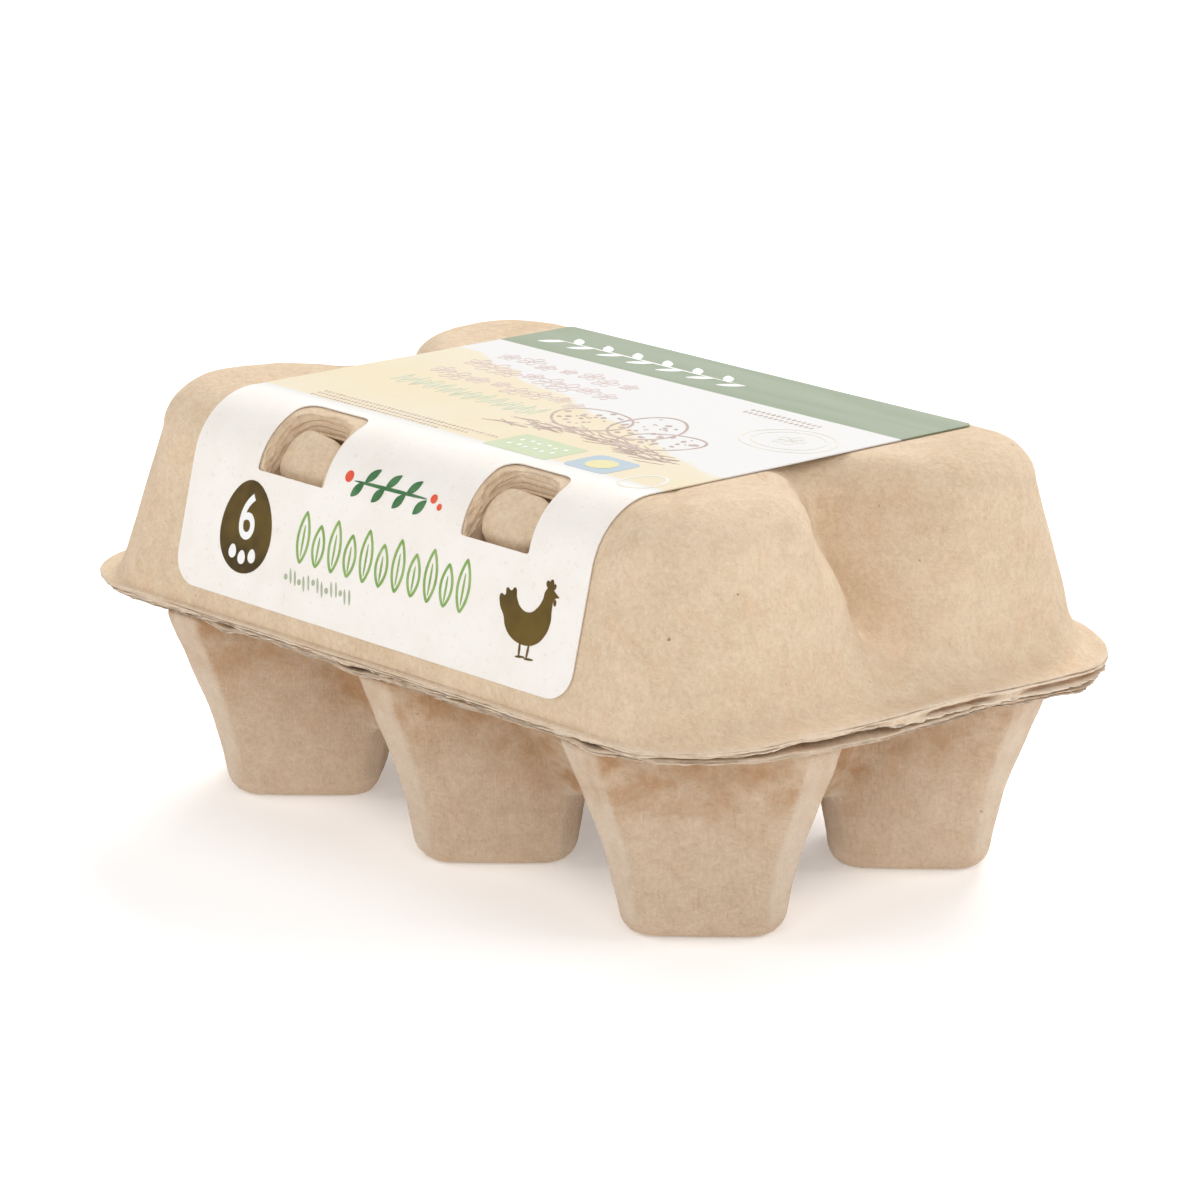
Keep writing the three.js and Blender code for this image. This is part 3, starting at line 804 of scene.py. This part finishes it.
def bridge_rings(cx, cy, along_x):
    rings = []
    for z, width in bridge_widths:
        points = [(-9, -width), (9, -width), (9, width), (-9, width)]
        rings.append([(cx + u, cy + v, z) if along_x else (cx - v, cy + u, z) for u, v in points])
    return rings


def sheet_rings():
    length, width = (tray_rim[key] - sheet_inset for key in ("half_length", "half_width"))
    outline = rounded(length, width, width, rim["corner"] - sheet_inset, 30, 20, 12)
    return [[(x, y, z) for x, y in outline] for z in sheet_levels]


# %% Join them and melt them into one skin
def trim_to_walls(bm):
    """Cuts off what reaches past the tray's side walls."""
    length, width = (tray_rim[key] - 0.8 for key in ("half_length", "half_width"))
    for wall in ((length, 0, 0), (-length, 0, 0), (0, width, 0), (0, -width, 0)):
        cut = bmesh.ops.bisect_plane(
            bm, geom=bm.verts[:] + bm.edges[:] + bm.faces[:], plane_co=Vector(wall) * MM,
            plane_no=Vector(wall).normalized(), clear_outer=True, dist=1e-7,
        )["geom_cut"]
        edges = [g for g in cut if isinstance(g, bmesh.types.BMEdge)]
        if edges:
            bmesh.ops.holes_fill(bm, edges=edges, sides=0)


def build_tray():
    bm = bmesh.new()
    for place in cup_places:
        part = bmesh.new()
        skin(part, cup_rings(*place))
        trim_to_walls(part)
        bmesh.ops.recalc_face_normals(part, faces=part.faces)
        copy = bpy.data.meshes.new("part")
        part.to_mesh(copy)
        part.free()
        bm.from_mesh(copy)
        bpy.data.meshes.remove(copy)
    for saddle in saddles:
        skin(bm, bridge_rings(*saddle))
    skin(bm, sheet_rings())
    bmesh.ops.recalc_face_normals(bm, faces=bm.faces)
    piece = object_of("tray_raw", bm)
    melt = piece.modifiers.new("melt", "REMESH")
    melt.mode, melt.voxel_size = "VOXEL", 0.77 * MM
    bake_modifiers(piece)
    bm = bmesh.new()
    bm.from_mesh(piece.data)
    bpy.data.objects.remove(piece)
    axes = {"use_axis_x": True, "use_axis_y": True, "use_axis_z": True}
    for _ in range(2):
        bmesh.ops.smooth_vert(bm, verts=bm.verts, factor=0.5, **axes)
    torn = bm.verts.layers.float.new("torn")
    stain = bm.verts.layers.float.new("stain")
    push(bm, crumple)
    for v in bm.verts:
        v.co.z = max(v.co.z, 0.0)
        v[torn], v[stain] = tray_marks(*(v.co / MM))
    finish_piece("tray_cups", bm, tray_pulp, "tray_pulp", stands_for=["tray"])


# %% Where the tray is crumpled and torn, stained, and painted with shade and highlight
def saddle_nearness(x, y, z, wide, tall, level):
    """1 at a saddle's middle at the given level, and less further away."""
    near = 0.0
    for sx, sy, along_x in saddles:
        along, across = (x - sx, y - sy) if along_x else (y - sy, x - sx)
        near = max(near, gauss(along, 0, wide) * gauss(across, 0, 14) * gauss(z, level, tall))
    return near


def facet_share(x, y, z):
    """How surely a point lies on one of the narrow flat corners of a cup."""
    cx, cy = min(cup_places, key=lambda place: math.dist(place, (x, y)))
    aside, out = sorted((abs(x - cx), abs(y - cy)))
    width = cup["facet"] + cup["facet_growth"] * z
    plane = math.sqrt(2) * through(cup_half, z) - width / 2
    return smooth(-0.9, -0.2, out - plane) * smooth(width / 2 + 0.5, width / 2 - 0.1, aside)


def tray_marks(x, y, z):
    """How pale the tray is painted at a point, for torn pulp and painted highlight, and how dark, for stain
    and painted shade.
    """
    # Darker between the cups at the saddles and towards the cups' tops under the rim: brown stain and painted
    # shade together
    near = 1.2 * saddle_nearness(x, y, z, 7.5, 10.0, 21) + 0.80 * smooth(13, 32, z)
    blotchy = clamp(0.62 + felt(x, y, z, (0.7, 4.5, 3.0), (0.35, 1.4, 8.0)))
    ledge = saddle_nearness(x, y, z, 6.0, 1.8, 14.2)
    torn = ledge * clamp(0.45 + 0.9 * rough(x, y, z, 1.6, 7.0))
    # The narrow corner facets are painted paler and kept from the darkening: painted highlight
    facet = facet_share(x, y, z) * clamp(0.75 + 0.5 * rough(x, y, z / 4, 2.0, 11.0))
    return max(torn, 0.62 * facet), clamp(near * 1.25 * blotchy) * (1 - 0.6 * facet)


def crumple(x, y, z):
    """Small dents everywhere, and a crumpled ledge at each saddle."""
    ledge = saddle_nearness(x, y, z, 7.0, 3.5, 14.5)
    soft = felt(x, y, z, (0.30, 15, 1.0), (0.14, 5, 4.0), (0.05, 2.2, 6.0))
    soft += ledge * felt(x, y, z, (0.75, 2.6, 9.0), (0.45, 1.5, 12.0))
    return (soft - 0.25) * smooth(0.15, 1.6, z)


build_tray()

# %% [markdown]
# ## The tray's rim
# Under the lid's rim lies the tray's own, torn in the same way. The two only touch in places: along
# the right end they part, and a dark gap shows. It is a ring of its own with the same ply rings.

# %% Build the tray's rim
# The last column pales the torn edge; the crack's deep plies are painted dark, as painted shade in the crack
tray_plies = [
    (34.38, -5.2, 0.0, 0, 0.0), (34.26, -1.5, 0.3, 0, 0.7), (34.22, -0.60, 0.9, 0, 1.0),
    (34.33, -0.30, 1.0, 0, 1.0), (34.46, -0.22, 0.8, 3, 0.8), (34.53, -1.20, 0.3, 3, 0.2),
    (34.64, -1.15, 0.3, 3, 0.2), (34.71, -0.25, 0.6, 3, 0.5), (34.92, -0.20, 0.5, 0, 0.4),
    (35.08, -0.45, 0.3, 0, 0.3), (35.17, -1.1, 0.1, 0, 0.0), (35.20, -5.2, 0.0, 0, 0.0),
]
front_gaps = ((53, 3.0, 0.8), (-3, 4.0, 0.9), (-35, 3.0, 0.7), (22, 5.0, 0.3))  # x, width and drop


def tray_wave(x, y, z):
    gap = sum(drop * gauss(x, middle, width) for middle, width, drop in front_gaps)
    return end_height(tray_end, x, y) - gap * smooth(-40, -49, y) + 0.12 * rough(x, y, 0, 9, 14.0)


def build_tray_rim():
    bm = bmesh.new()
    rings, torn, dark = torn_rim(tray_rim, tray_plies, tray_wave, 21.0)
    skin(bm, rings, torn=torn, stain=dark)
    finish_piece("tray_rim_edge", bm, tray_pulp, "tray_pulp")


build_tray_rim()

# %% [markdown]
# ## The label
# The label is a sheet of uncoated paper with rounded corners and a hole for each window. It is drawn
# flat, with x across and s up along the paper, cut into narrow strips so that it can bend, and then
# laid on the section. Its UV map keeps the flat position, which the print needs.

# %% Lay a flat drawing on the carton
def on_label(x, s, out):
    """A point on the carton; paper is never quite flat, so it rises and falls in slow waves."""
    y, z = section(s, out + felt(x, s, 0, (0.05, 22, 31.0), (0.03, 7, 33.0)))
    return Vector((x, y, z)) * MM


def steps_between(low, high, step):
    count = max(1, round((high - low) / step))
    return [lerp(low, high, k / count) for k in range(1, count)]


def cut_in_strips(bm, x_step, s_step, fold_step):
    xs, ss = ([v.co[axis] for v in bm.verts] for axis in (0, 1))
    levels = [s for s in steps_between(min(ss), max(ss), s_step) if not fold_start < s < fold_end]
    levels += [s for s in steps_between(fold_start - 1, fold_end + 1, fold_step) if min(ss) < s < max(ss)]
    lines = [(x, 0, 0) for x in steps_between(min(xs), max(xs), x_step)] + [(0, s, 0) for s in levels]
    for number, line in enumerate(lines):
        normal = (0, 1, 0) if number >= len(lines) - len(levels) else (1, 0, 0)
        bmesh.ops.bisect_plane(
            bm, geom=bm.verts[:] + bm.edges[:] + bm.faces[:], plane_co=line, plane_no=normal, dist=1e-5
        )


def lay_on_label(name, bm, material, out, thick, x_step=3.0, s_step=3.0, fold_step=1.3, **kept):
    cut_in_strips(bm, x_step, s_step, fold_step)
    raised = bmesh.ops.extrude_face_region(bm, geom=bm.faces[:])["geom"]
    for v in raised:
        if isinstance(v, bmesh.types.BMVert):
            v.co.z = 1
    uv = bm.loops.layers.uv.new("paper")
    for face in bm.faces:
        for loop in face.loops:
            x, s, _ = loop.vert.co
            loop[uv].uv = (x / (2 * label_half) + 0.5, s / sheet_length)
    for v in bm.verts:
        v.co = on_label(v.co.x, v.co.y, out + thick * v.co.z)
    finish_piece(name, bm, material, "label_paper", crease=math.radians(50), **kept)


# %% Draw the label's outline and its holes
def rounded_box(bm, x0, s0, x1, s1, low, top=None):
    """Edges of a rectangle in the flat drawing, with a radius for its lower and one for its top corners."""
    top = low if top is None else top
    points = (
        arc(x1 - low, s0 + low, low, -quarter, 8) + arc(x1 - top, s1 - top, top, 0, 8)
        + arc(x0 + top, s1 - top, top, quarter, 8) + arc(x0 + low, s0 + low, low, math.pi, 8)
    )
    verts = bmesh.ops.create_circle(bm, segments=len(points), radius=1)["verts"]
    for vert, point in zip(verts, points):
        vert.co = (*point, 0)
    return verts


def label_outline():
    bm = bmesh.new()
    rounded_box(bm, -label_half, 0, label_half, sheet_length, 5, 1.2)
    for hole in label_holes:
        rounded_box(bm, *hole, 0.6, 3.2)
    bmesh.ops.triangle_fill(bm, edges=bm.edges[:], use_beauty=True, use_dissolve=False)
    return bm


# %% [markdown]
# ## The label's paper and its fields of colour
# The paper is creamy and faintly flecked. The top carries pale washes: a green band at the back, a
# white sky and a straw-coloured ground whose edge runs like watercolour. They are painted in the
# material from the label's own flat position.

# %% The label's material
def paper_material():
    material, b, surface, place = new_material("label_paper_print")
    across, along, _ = b.node("SeparateXYZ", {0: b.add("TexCoord", out="UV")}).outputs
    x = b.sum("MULTIPLY_ADD", across, 2 * label_half, -label_half)
    s = b.sum("MULTIPLY", along, sheet_length)
    wander = b.noise(place, 120, 3, 0.6)
    wide = b.noise(place, 45)
    fine = b.noise(place, 900, 2, 0.6)
    fleck = b.ramp(b.noise(b.turned(place, (0.2, 0.1, 0.9), (5, 1, 1)), 1700, 1, 0.5, 0.6), 0.64, 0.78)
    dust = b.ramp(b.noise(place, 520), 0.66, 0.76)
    paper = b.mix(b.ramp(wander, 0.3, 0.7), (0.925, 0.880, 0.830), (0.890, 0.840, 0.780))
    paper = b.mix(b.sum("MULTIPLY", fleck, 0.30), paper, (0.72, 0.61, 0.50))
    paper = b.mix(b.sum("MULTIPLY", dust, 0.35), paper, (0.80, 0.69, 0.58))
    colour = b.mix(b.ramp(s, 36.5, 40.0), paper, (0.765, 0.755, 0.74))
    shore = b.sum("MULTIPLY_ADD", x, 0.33, b.sum("MULTIPLY_ADD", wander, 7.0, s))
    ground = b.sum("MULTIPLY", b.ramp(shore, 70.5, 72.5, 1.0, 0.0), b.ramp(s, 39.5, 41.0))
    straw = b.mix(b.ramp(wide, 0.35, 0.65), (0.775, 0.695, 0.535), (0.77, 0.675, 0.49))
    colour = b.mix(ground, colour, straw)
    band = b.ramp(s, 92.2, 92.4, soft=False)
    streak = b.noise(b.turned(place, (0, 0, 0), (9, 1, 1)), 160, 3, 0.6)
    green = b.mix(b.ramp(streak, 0.3, 0.7), (0.320, 0.372, 0.270), (0.275, 0.328, 0.228))
    height = b.sum("MULTIPLY_ADD", wander, 0.8, b.sum("MULTIPLY", fine, 0.25))
    b.wire(surface, {
        "Base Color": b.mix(band, colour, green), "Roughness": b.ramp(band, 0, 1, 0.72, 0.55),
        "Specular IOR Level": 0.15, "Normal": b.bump(height, 0.25),
    })
    return material


lay_on_label(
    "label_sheet", label_outline(), paper_material(), 0.12, 0.2, 4.0, 3.0, 1.2, stands_for=["label"]
)


# %% [markdown]
# ## Printing inks and foil
# Everything else on the label is ink or stamped foil a few hundredths of a millimetre thick. Each
# motif is a thin piece of its own, cut from flat shapes and laid on the paper in the same way.

# %% Inks
def ink_material(name, colour, other, metallic=0.0, roughness=0.6, scale=350):
    material, b, surface, place = new_material(name)
    # Patches of the second colour: wear on the inks, and on the gold foil a painted reflection of golden
    # sheen
    wear_and_sheen = b.ramp(b.noise(place, scale, 3, 0.6), 0.35, 0.68)
    b.wire(surface, {
        "Base Color": b.mix(wear_and_sheen, colour, other), "Metallic": metallic,
        "Roughness": b.ramp(wear_and_sheen, 0, 1, roughness, roughness + 0.12),
        "Specular IOR Level": 0.5 if metallic else 0.15, "Normal": b.bump(b.noise(place, 600, 2, 0.6), 0.15),
    })
    return material


inks = {name: ink_material(name, *looks) for name, *looks in (
    ("leaf_green_ink", (0.24, 0.40, 0.105), (0.32, 0.47, 0.17)),
    ("dark_green_ink", (0.055, 0.17, 0.065), (0.10, 0.23, 0.10)),
    ("berry_red_ink", (0.78, 0.10, 0.05), (0.80, 0.16, 0.09)),
    ("sage_ink", (0.40, 0.44, 0.30), (0.50, 0.53, 0.40)),
    # The foil's lighter gold patches are painted reflection on a dark foil
    ("gold_foil", (0.230, 0.150, 0.038), (0.065, 0.042, 0.014), 0.75, 0.30, 70),
    ("white_ink", (0.93, 0.92, 0.90), (0.90, 0.885, 0.86)),
    ("pale_pink_ink", (0.72, 0.57, 0.54), (0.74, 0.63, 0.60)),
    ("pale_teal_ink", (0.60, 0.66, 0.52), (0.66, 0.69, 0.54)),
    ("mauve_brown_ink", (0.47, 0.35, 0.31), (0.62, 0.50, 0.45)),
    ("pale_lime_ink", (0.56, 0.62, 0.42), (0.60, 0.65, 0.47)),
    ("pale_blue_ink", (0.44, 0.53, 0.60), (0.48, 0.56, 0.62)),
    ("pale_yellow_ink", (0.73, 0.67, 0.36), (0.74, 0.69, 0.42)),
    ("straw_ink", (0.78, 0.75, 0.68), (0.77, 0.73, 0.64)),
)}
print(len(inks), "inks")


# %% Flat motifs
def drop(bm, x, s, half_width, half_height, turn=0.0, narrow=0.0, point=0.0, segments=28, stroke=None):
    """An egg, leaf or disc: a circle stretched, narrowed to the top, or pointed at both ends.

    With a stroke only a line of that width is left around it.
    """
    made = bmesh.ops.create_circle(bm, cap_ends=True, segments=segments, radius=1)["verts"]
    spin = Matrix.Rotation(turn, 3, "Z")
    for v in made:
        u, t = v.co.x, v.co.y
        u *= (1 - narrow * t) * (1 - point * t * t)
        v.co = spin @ Vector((u * half_width, t * half_height, 0)) + Vector((x, s, 0))
    if stroke:
        faces = list({f for v in made for f in v.link_faces})
        bmesh.ops.inset_region(bm, faces=faces, thickness=stroke, use_even_offset=True, use_boundary=True)
        bmesh.ops.delete(bm, geom=faces, context="FACES_ONLY")


def filled(curve):
    """The filled shape of a curve or a text, as a flat bmesh."""
    shape = bpy.data.objects.new("shape", curve)
    data = bpy.data.meshes.new_from_object(shape)
    bm = bmesh.new()
    bm.from_mesh(data)
    bpy.data.objects.remove(shape)
    bpy.data.meshes.remove(data)
    return bm


def closed_curve(points):
    """A flat shape through a few points (x, y, sharp)."""
    curve = bpy.data.curves.new("shape", "CURVE")
    curve.dimensions = "2D"
    curve.fill_mode = "BOTH"
    line = curve.splines.new("BEZIER")
    line.bezier_points.add(len(points) - 1)
    for spot, (x, y, sharp) in zip(line.bezier_points, points):
        spot.co = (x, y, 0)
        spot.handle_left_type = spot.handle_right_type = "VECTOR" if sharp else "AUTO"
    line.use_cyclic_u = True
    line.resolution_u = 8
    bm = filled(curve)
    bmesh.ops.remove_doubles(bm, verts=bm.verts, dist=1e-4)
    return bm


def numeral(text, x, s, height):
    """A plain numeral, centred on x and s."""
    words = bpy.data.curves.new("numeral", "FONT")
    words.body = text
    words.align_x = "CENTER"
    words.offset = 0.012
    bm = filled(words)
    xs, ys = ([v.co[axis] for v in bm.verts] for axis in (0, 1))
    size, slim = height / (max(ys) - min(ys)), 0.82
    for v in bm.verts:
        across, up = v.co.x - (min(xs) + max(xs)) / 2, v.co.y - min(ys)
        v.co = Vector((across * size * slim + x, up * size + s - height / 2, 0))
    return bm


ink_out = 0.33  # the inks lie on the paper's face
ink_thick = 0.03
ink_over = 0.04  # how far an ink lies over another one


def stamp(name, ink, shape, over=False):
    """Prints one thin piece: a flat bmesh, or rows of the values that drop() takes."""
    if isinstance(shape, list):
        rows, shape = shape, bmesh.new()
        for row in rows:
            drop(shape, *row)
    lay_on_label(name, shape, inks[ink], ink_out + (ink_over if over else 0), ink_thick)


# %% [markdown]
# ## Motifs on the front
# An egg-shaped foil badge tells how many eggs there are, a hen in the same foil stands at the other
# end, and between them runs a row of slender leaves with a fine line under it. A sprig with a berry
# sits between the windows.

# %% Badge with a plain number and three small eggs
badge_x = -31.5
stamp("badge_foil", "gold_foil", [(badge_x, 11.9, 6.2, 7.6, 0, 0.13, 0, 48)])
stamp("badge_number", "white_ink", numeral("6", badge_x, 13.6, 7.6), over=True)
small_eggs = [(badge_x + dx, s, 0.9, 1.15, 0, 0.13, 0, 20) for dx, s in ((-2.4, 7.5), (0, 6.9), (2.4, 7.5))]
stamp("badge_small_eggs", "white_ink", small_eggs, over=True)

# %% Hen in foil
hen_body = [
    (-5.6, 2.4, 0), (-7.0, 4.4, 0), (-7.1, 6.2, 0), (-6.1, 6.1, 0), (-5.9, 7.5, 0), (-4.8, 7.2, 0),
    (-4.0, 7.9, 0), (-3.2, 6.2, 0), (-1.9, 4.7, 0), (0.2, 4.3, 0), (1.8, 5.4, 0), (2.8, 7.2, 0),
    (3.1, 8.8, 0), (4.2, 9.8, 0), (5.3, 9.1, 0), (6.6, 8.3, 1), (5.5, 7.8, 0), (5.3, 6.0, 0),
    (5.5, 3.6, 0), (4.7, 1.0, 0), (2.7, -1.0, 0), (-0.2, -1.6, 0), (-3.2, -0.8, 0), (-4.9, 0.8, 0),
]
comb_wattle_and_legs = (
    (3.5, 10.1, 0.5, 0.7, 0.35), (4.3, 10.4, 0.5, 0.75, 0.0), (5.0, 9.9, 0.4, 0.6, -0.4),
    (5.7, 7.2, 0.36, 0.6, 0.1), (-0.6, -2.5, 0.26, 1.5, 0.1), (1.4, -2.5, 0.26, 1.5, -0.05),
    (-0.2, -3.8, 1.2, 0.22, 0.15), (1.9, -3.8, 1.2, 0.22, 0.1),
)
hen = closed_curve(hen_body)
for part in comb_wattle_and_legs:
    drop(hen, *part, segments=14)
for v in hen.verts:
    v.co = Vector((35.6 + v.co.x * 0.92, 8.2 + v.co.y * 0.86, 0))
stamp("hen_foil", "gold_foil", hen)

# %% Row of slender leaves, the fine line and the sprig
leaves = []
for k in range(11):
    x, tall = lerp(-17.6, 20.6, k / 10), 3.5 if k % 2 else 4.3
    low = (tall - 4.3) * 0.9
    leaves.append((x, 12.9 + low, 1.55, tall, 0, 0.10, 0.35, 28, 0.52))
    leaves.append((x, 12.3 + low, 0.22, tall * 0.62, 0, 0, 0, 12))
stamp("leaf_row", "leaf_green_ink", leaves)
stamp("fine_line", "sage_ink", [
    (lerp(-20.2, -4.6, k / 14), 6.0 + 0.35 * math.sin(k * 1.3), *((0.24, 1.25) if k % 3 else (0.42, 0.5)),
     0.25, 0, 0, 12) for k in range(15)
])


def twig(x0, x1, s, count, lift, half_width, half_height, turns, point, segments):
    """Leaves that stand below and above a line in turn."""
    return [
        (lerp(x0, x1, k / (count - 1)), s + (lift if k % 2 else -lift), half_width, half_height, turns[k % 2],
         0, point, segments) for k in range(count)
    ]


sprig = [(0.2, 24.0, 0.3, 8.6, quarter + 0.02, 0, 0, 24)]
sprig += twig(-7.2, 7.6, 24.0, 7, 1.35, 0.78, 1.75, (2.4, -0.75), 0.5, 20)
stamp("sprig_leaves", "dark_green_ink", sprig)
berries = ((-9.8, 24.3, 0.95), (10.2, 24.5, 0.75), (11.9, 23.5, 0.55))
stamp("sprig_berries", "berry_red_ink", [(x, s, r, r, 0, 0, 0, 20) for x, s, r in berries])

# %% [markdown]
# ## Motifs on the top
# The top has a pale country scene: three speckled eggs on straw where the ground meets the sky,
# blossoms and grasses at the left, a few small plain marks, and a garland on the green band. They
# are pale, because the light falls straight on them.

# %% Speckled eggs on straw
dice = random.Random(11)
eggs = ((6.0, 63.5, 6.4, 8.4, 1.25), (16.5, 66.5, 6.2, 8.2, 0.35), (24.5, 61.5, 5.6, 7.4, -0.9))
nest = [(*egg, 0.12, 0, 40, 0.45) for egg in eggs]
for x, s, w, h, turn in eggs:
    for _ in range(26):
        a, r = dice.uniform(0, 6.283), math.sqrt(dice.random()) * 0.8
        dx, ds = r * w * math.cos(a), r * h * math.sin(a)
        size = dice.uniform(0.18, 0.55)
        nest.append((
            x + dx * math.cos(turn) - ds * math.sin(turn), s + dx * math.sin(turn) + ds * math.cos(turn),
            size, size * dice.uniform(0.7, 1.3), dice.uniform(0, 3), 0, 0, 9,
        ))
for _ in range(70):
    x = dice.uniform(-3, 34)
    s = 53.5 + 2.5 * math.sin(x * 0.11) + dice.uniform(-2.2, 2.6)
    nest.append((x, s, 0.16, dice.uniform(1.6, 4.2), dice.uniform(1.1, 2.05), 0, 0, 8))
stamp("speckled_eggs", "mauve_brown_ink", nest)

# %% Blossoms, grasses and small marks
def blossom(x, s, size):
    """Five outlined petals."""
    return [
        (x + 0.62 * size * math.cos(a), s + 0.62 * size * math.sin(a), 0.36 * size, 0.52 * size, a - quarter,
         0, 0, 14, 0.28) for a in (k * 2 * math.pi / 5 + 0.3 for k in range(5))
    ]


def panel(*box):
    """A filled rectangle with round corners."""
    bm = bmesh.new()
    verts = rounded_box(bm, *box)
    bmesh.ops.contextual_create(bm, geom=list({e for v in verts for e in v.link_edges}))
    return bm


blossoms = []
for row, (s, count, size) in enumerate(((84, 7, 2.4), (76.5, 8, 3.0), (68.5, 8, 2.7))):
    for k in range(count):
        x, wave = lerp(-38, -4 + 2 * row, (k + 0.5) / count), 0.8 * math.sin(k * 2.1 + row)
        blossoms += blossom(x, s + wave, size * (0.8 + 0.2 * math.sin(k * 1.7)))
stamp("pink_blossoms", "pale_pink_ink", blossoms)
stamp("teal_grasses", "pale_teal_ink", [
    (lerp(-36, -3, k / 33), 60.2, 0.26, 2.6 + 0.8 * math.sin(k * 2.4), 0.3 * math.sin(k * 1.9), 0, 0.4, 10)
    for k in range(34)
])
stamp("lime_panel", "pale_lime_ink", panel(7.0, 39.2, 21.5, 48.8, 0.6))
dots = [
    (9.6 + 1.9 * (k % 6), 42.6 + 2.9 * (k // 6) + 0.5 * (k % 2), 0.32, 0.5, 0, 0, 0, 10) for k in range(12)
]
stamp("lime_panel_dots", "white_ink", dots, over=True)
stamp("blue_panel", "pale_blue_ink", panel(24.4, 39.8, 34.0, 48.6, 1.6))
stamp("blue_panel_sun", "pale_yellow_ink", [(29.2, 44.2, 2.7, 2.7)], over=True)

# %% Rings, tiny rows and the garland on the band
rings = [
    (x, s, w, h, 0, 0.08, 0, 40, stroke) for x, s, w, h, stroke in
    ((41.2, 41.6, 3.6, 4.6, 0.7), (36.6, 78.0, 8.6, 7.4, 0.45), (36.6, 78.0, 6.6, 5.6, 0.3))
]
stamp("straw_rings", "straw_ink", rings + blossom(36.6, 78.0, 2.6))
tiny = [
    (-36 + k * 0.92, 43.8 - row * 1.5, 0.26, 0.34 + 0.1 * math.sin(k * 1.9 + row), 0, 0, 0, 7)
    for row in range(3) for k in range(46 - 6 * row)
]
tiny += [(18 + k * 1.15, 88.4 - row * 1.8, 0.32, 0.5, 0, 0, 0, 7) for row in range(2) for k in range(14)]
stamp("tiny_rows", "mauve_brown_ink", tiny)
garland = twig(-40.5, 3.0, 99.6, 13, 1.5, 0.95, 2.5, (2.3, 0.8), 0.45, 18)
stamp("band_garland", "white_ink", garland + [(-18.7, 99.6, 0.26, 22.4, quarter, 0, 0, 32)])

# %% [markdown]
# ## Floor, light and camera
# A white floor under bright, soft lamps gives the high-key look of a packshot. The strong lamp at the
# back makes the top the brightest face, a weak one from above fills it, and the other three lie around
# the front and the right end, which leaves the cups a little darker.

# %% Floor
def build_floor():
    bm = bmesh.new()
    bmesh.ops.create_circle(bm, cap_ends=True, segments=96, radius=6)
    material, b, surface, place = new_material("studio_white")
    tone = b.mix(b.noise(place, 3), (0.92, 0.92, 0.92), (0.94, 0.94, 0.94))
    b.wire(surface, {
        "Base Color": tone, "Emission Color": tone, "Emission Strength": 0.30, "Roughness": 0.9,
    })
    object_of("studio_floor", bm, material)


build_floor()

# %% Lights
world = bpy.data.worlds.new("studio")
bpy.context.scene.world = world
world.use_nodes = True
world.node_tree.nodes["Background"].inputs["Color"].default_value = (1, 1, 1, 1)
world.node_tree.nodes["Background"].inputs["Strength"].default_value = 0.08

lamp_aim = Vector((0, 0, 0.04))
for name, place, size, power in (
    ("top_light", (0, 0, 3.0), 2.3, 25), ("right_light", (2.0, 1.6, 1.5), 1.8, 30),
    ("left_light", (-1.6, -2.0, 1.5), 1.8, 25), ("back_light", (-1.4, 2.2, 2.0), 1.8, 74),
    ("front_light", (1.8, -1.8, 1.8), 1.8, 33),
):
    lamp = bpy.data.lights.new(name, "AREA")
    lamp.shape, lamp.size, lamp.energy = "DISK", size, power
    stand = bpy.data.objects.new(name, lamp)
    stand.location = place
    stand.rotation_euler = (lamp_aim - Vector(place)).to_track_quat("-Z", "Y").to_euler()
    bpy.context.collection.objects.link(stand)

# %% Camera
camera_turn, camera_rise, distance = math.radians(46.74), math.radians(16.24), 844.25
looked_at, shift_right, shift_up = Vector((1.12, 1.98, 40.0)), -0.92, -3.32
focal_pixels, picture_pixels, sensor = 5167.99, 1200, 36
away = Vector((
    math.sin(camera_turn) * math.cos(camera_rise), -math.cos(camera_turn) * math.cos(camera_rise),
    math.sin(camera_rise),
))
right = Vector((math.cos(camera_turn), math.sin(camera_turn), 0))
above = away.cross(right)
eye = looked_at + away * distance + right * shift_right + above * shift_up
lens = bpy.data.cameras.new("camera")
lens.sensor_width = sensor
lens.lens = focal_pixels / picture_pixels * sensor
lens.clip_start, lens.clip_end = 0.05, 20
camera = bpy.data.objects.new("camera", lens)
camera.matrix_world = Matrix.Translation(eye * MM) @ Matrix((right, above, away)).transposed().to_4x4()
bpy.context.collection.objects.link(camera)
bpy.context.scene.camera = camera
bpy.context.scene.view_settings.view_transform = "Standard"
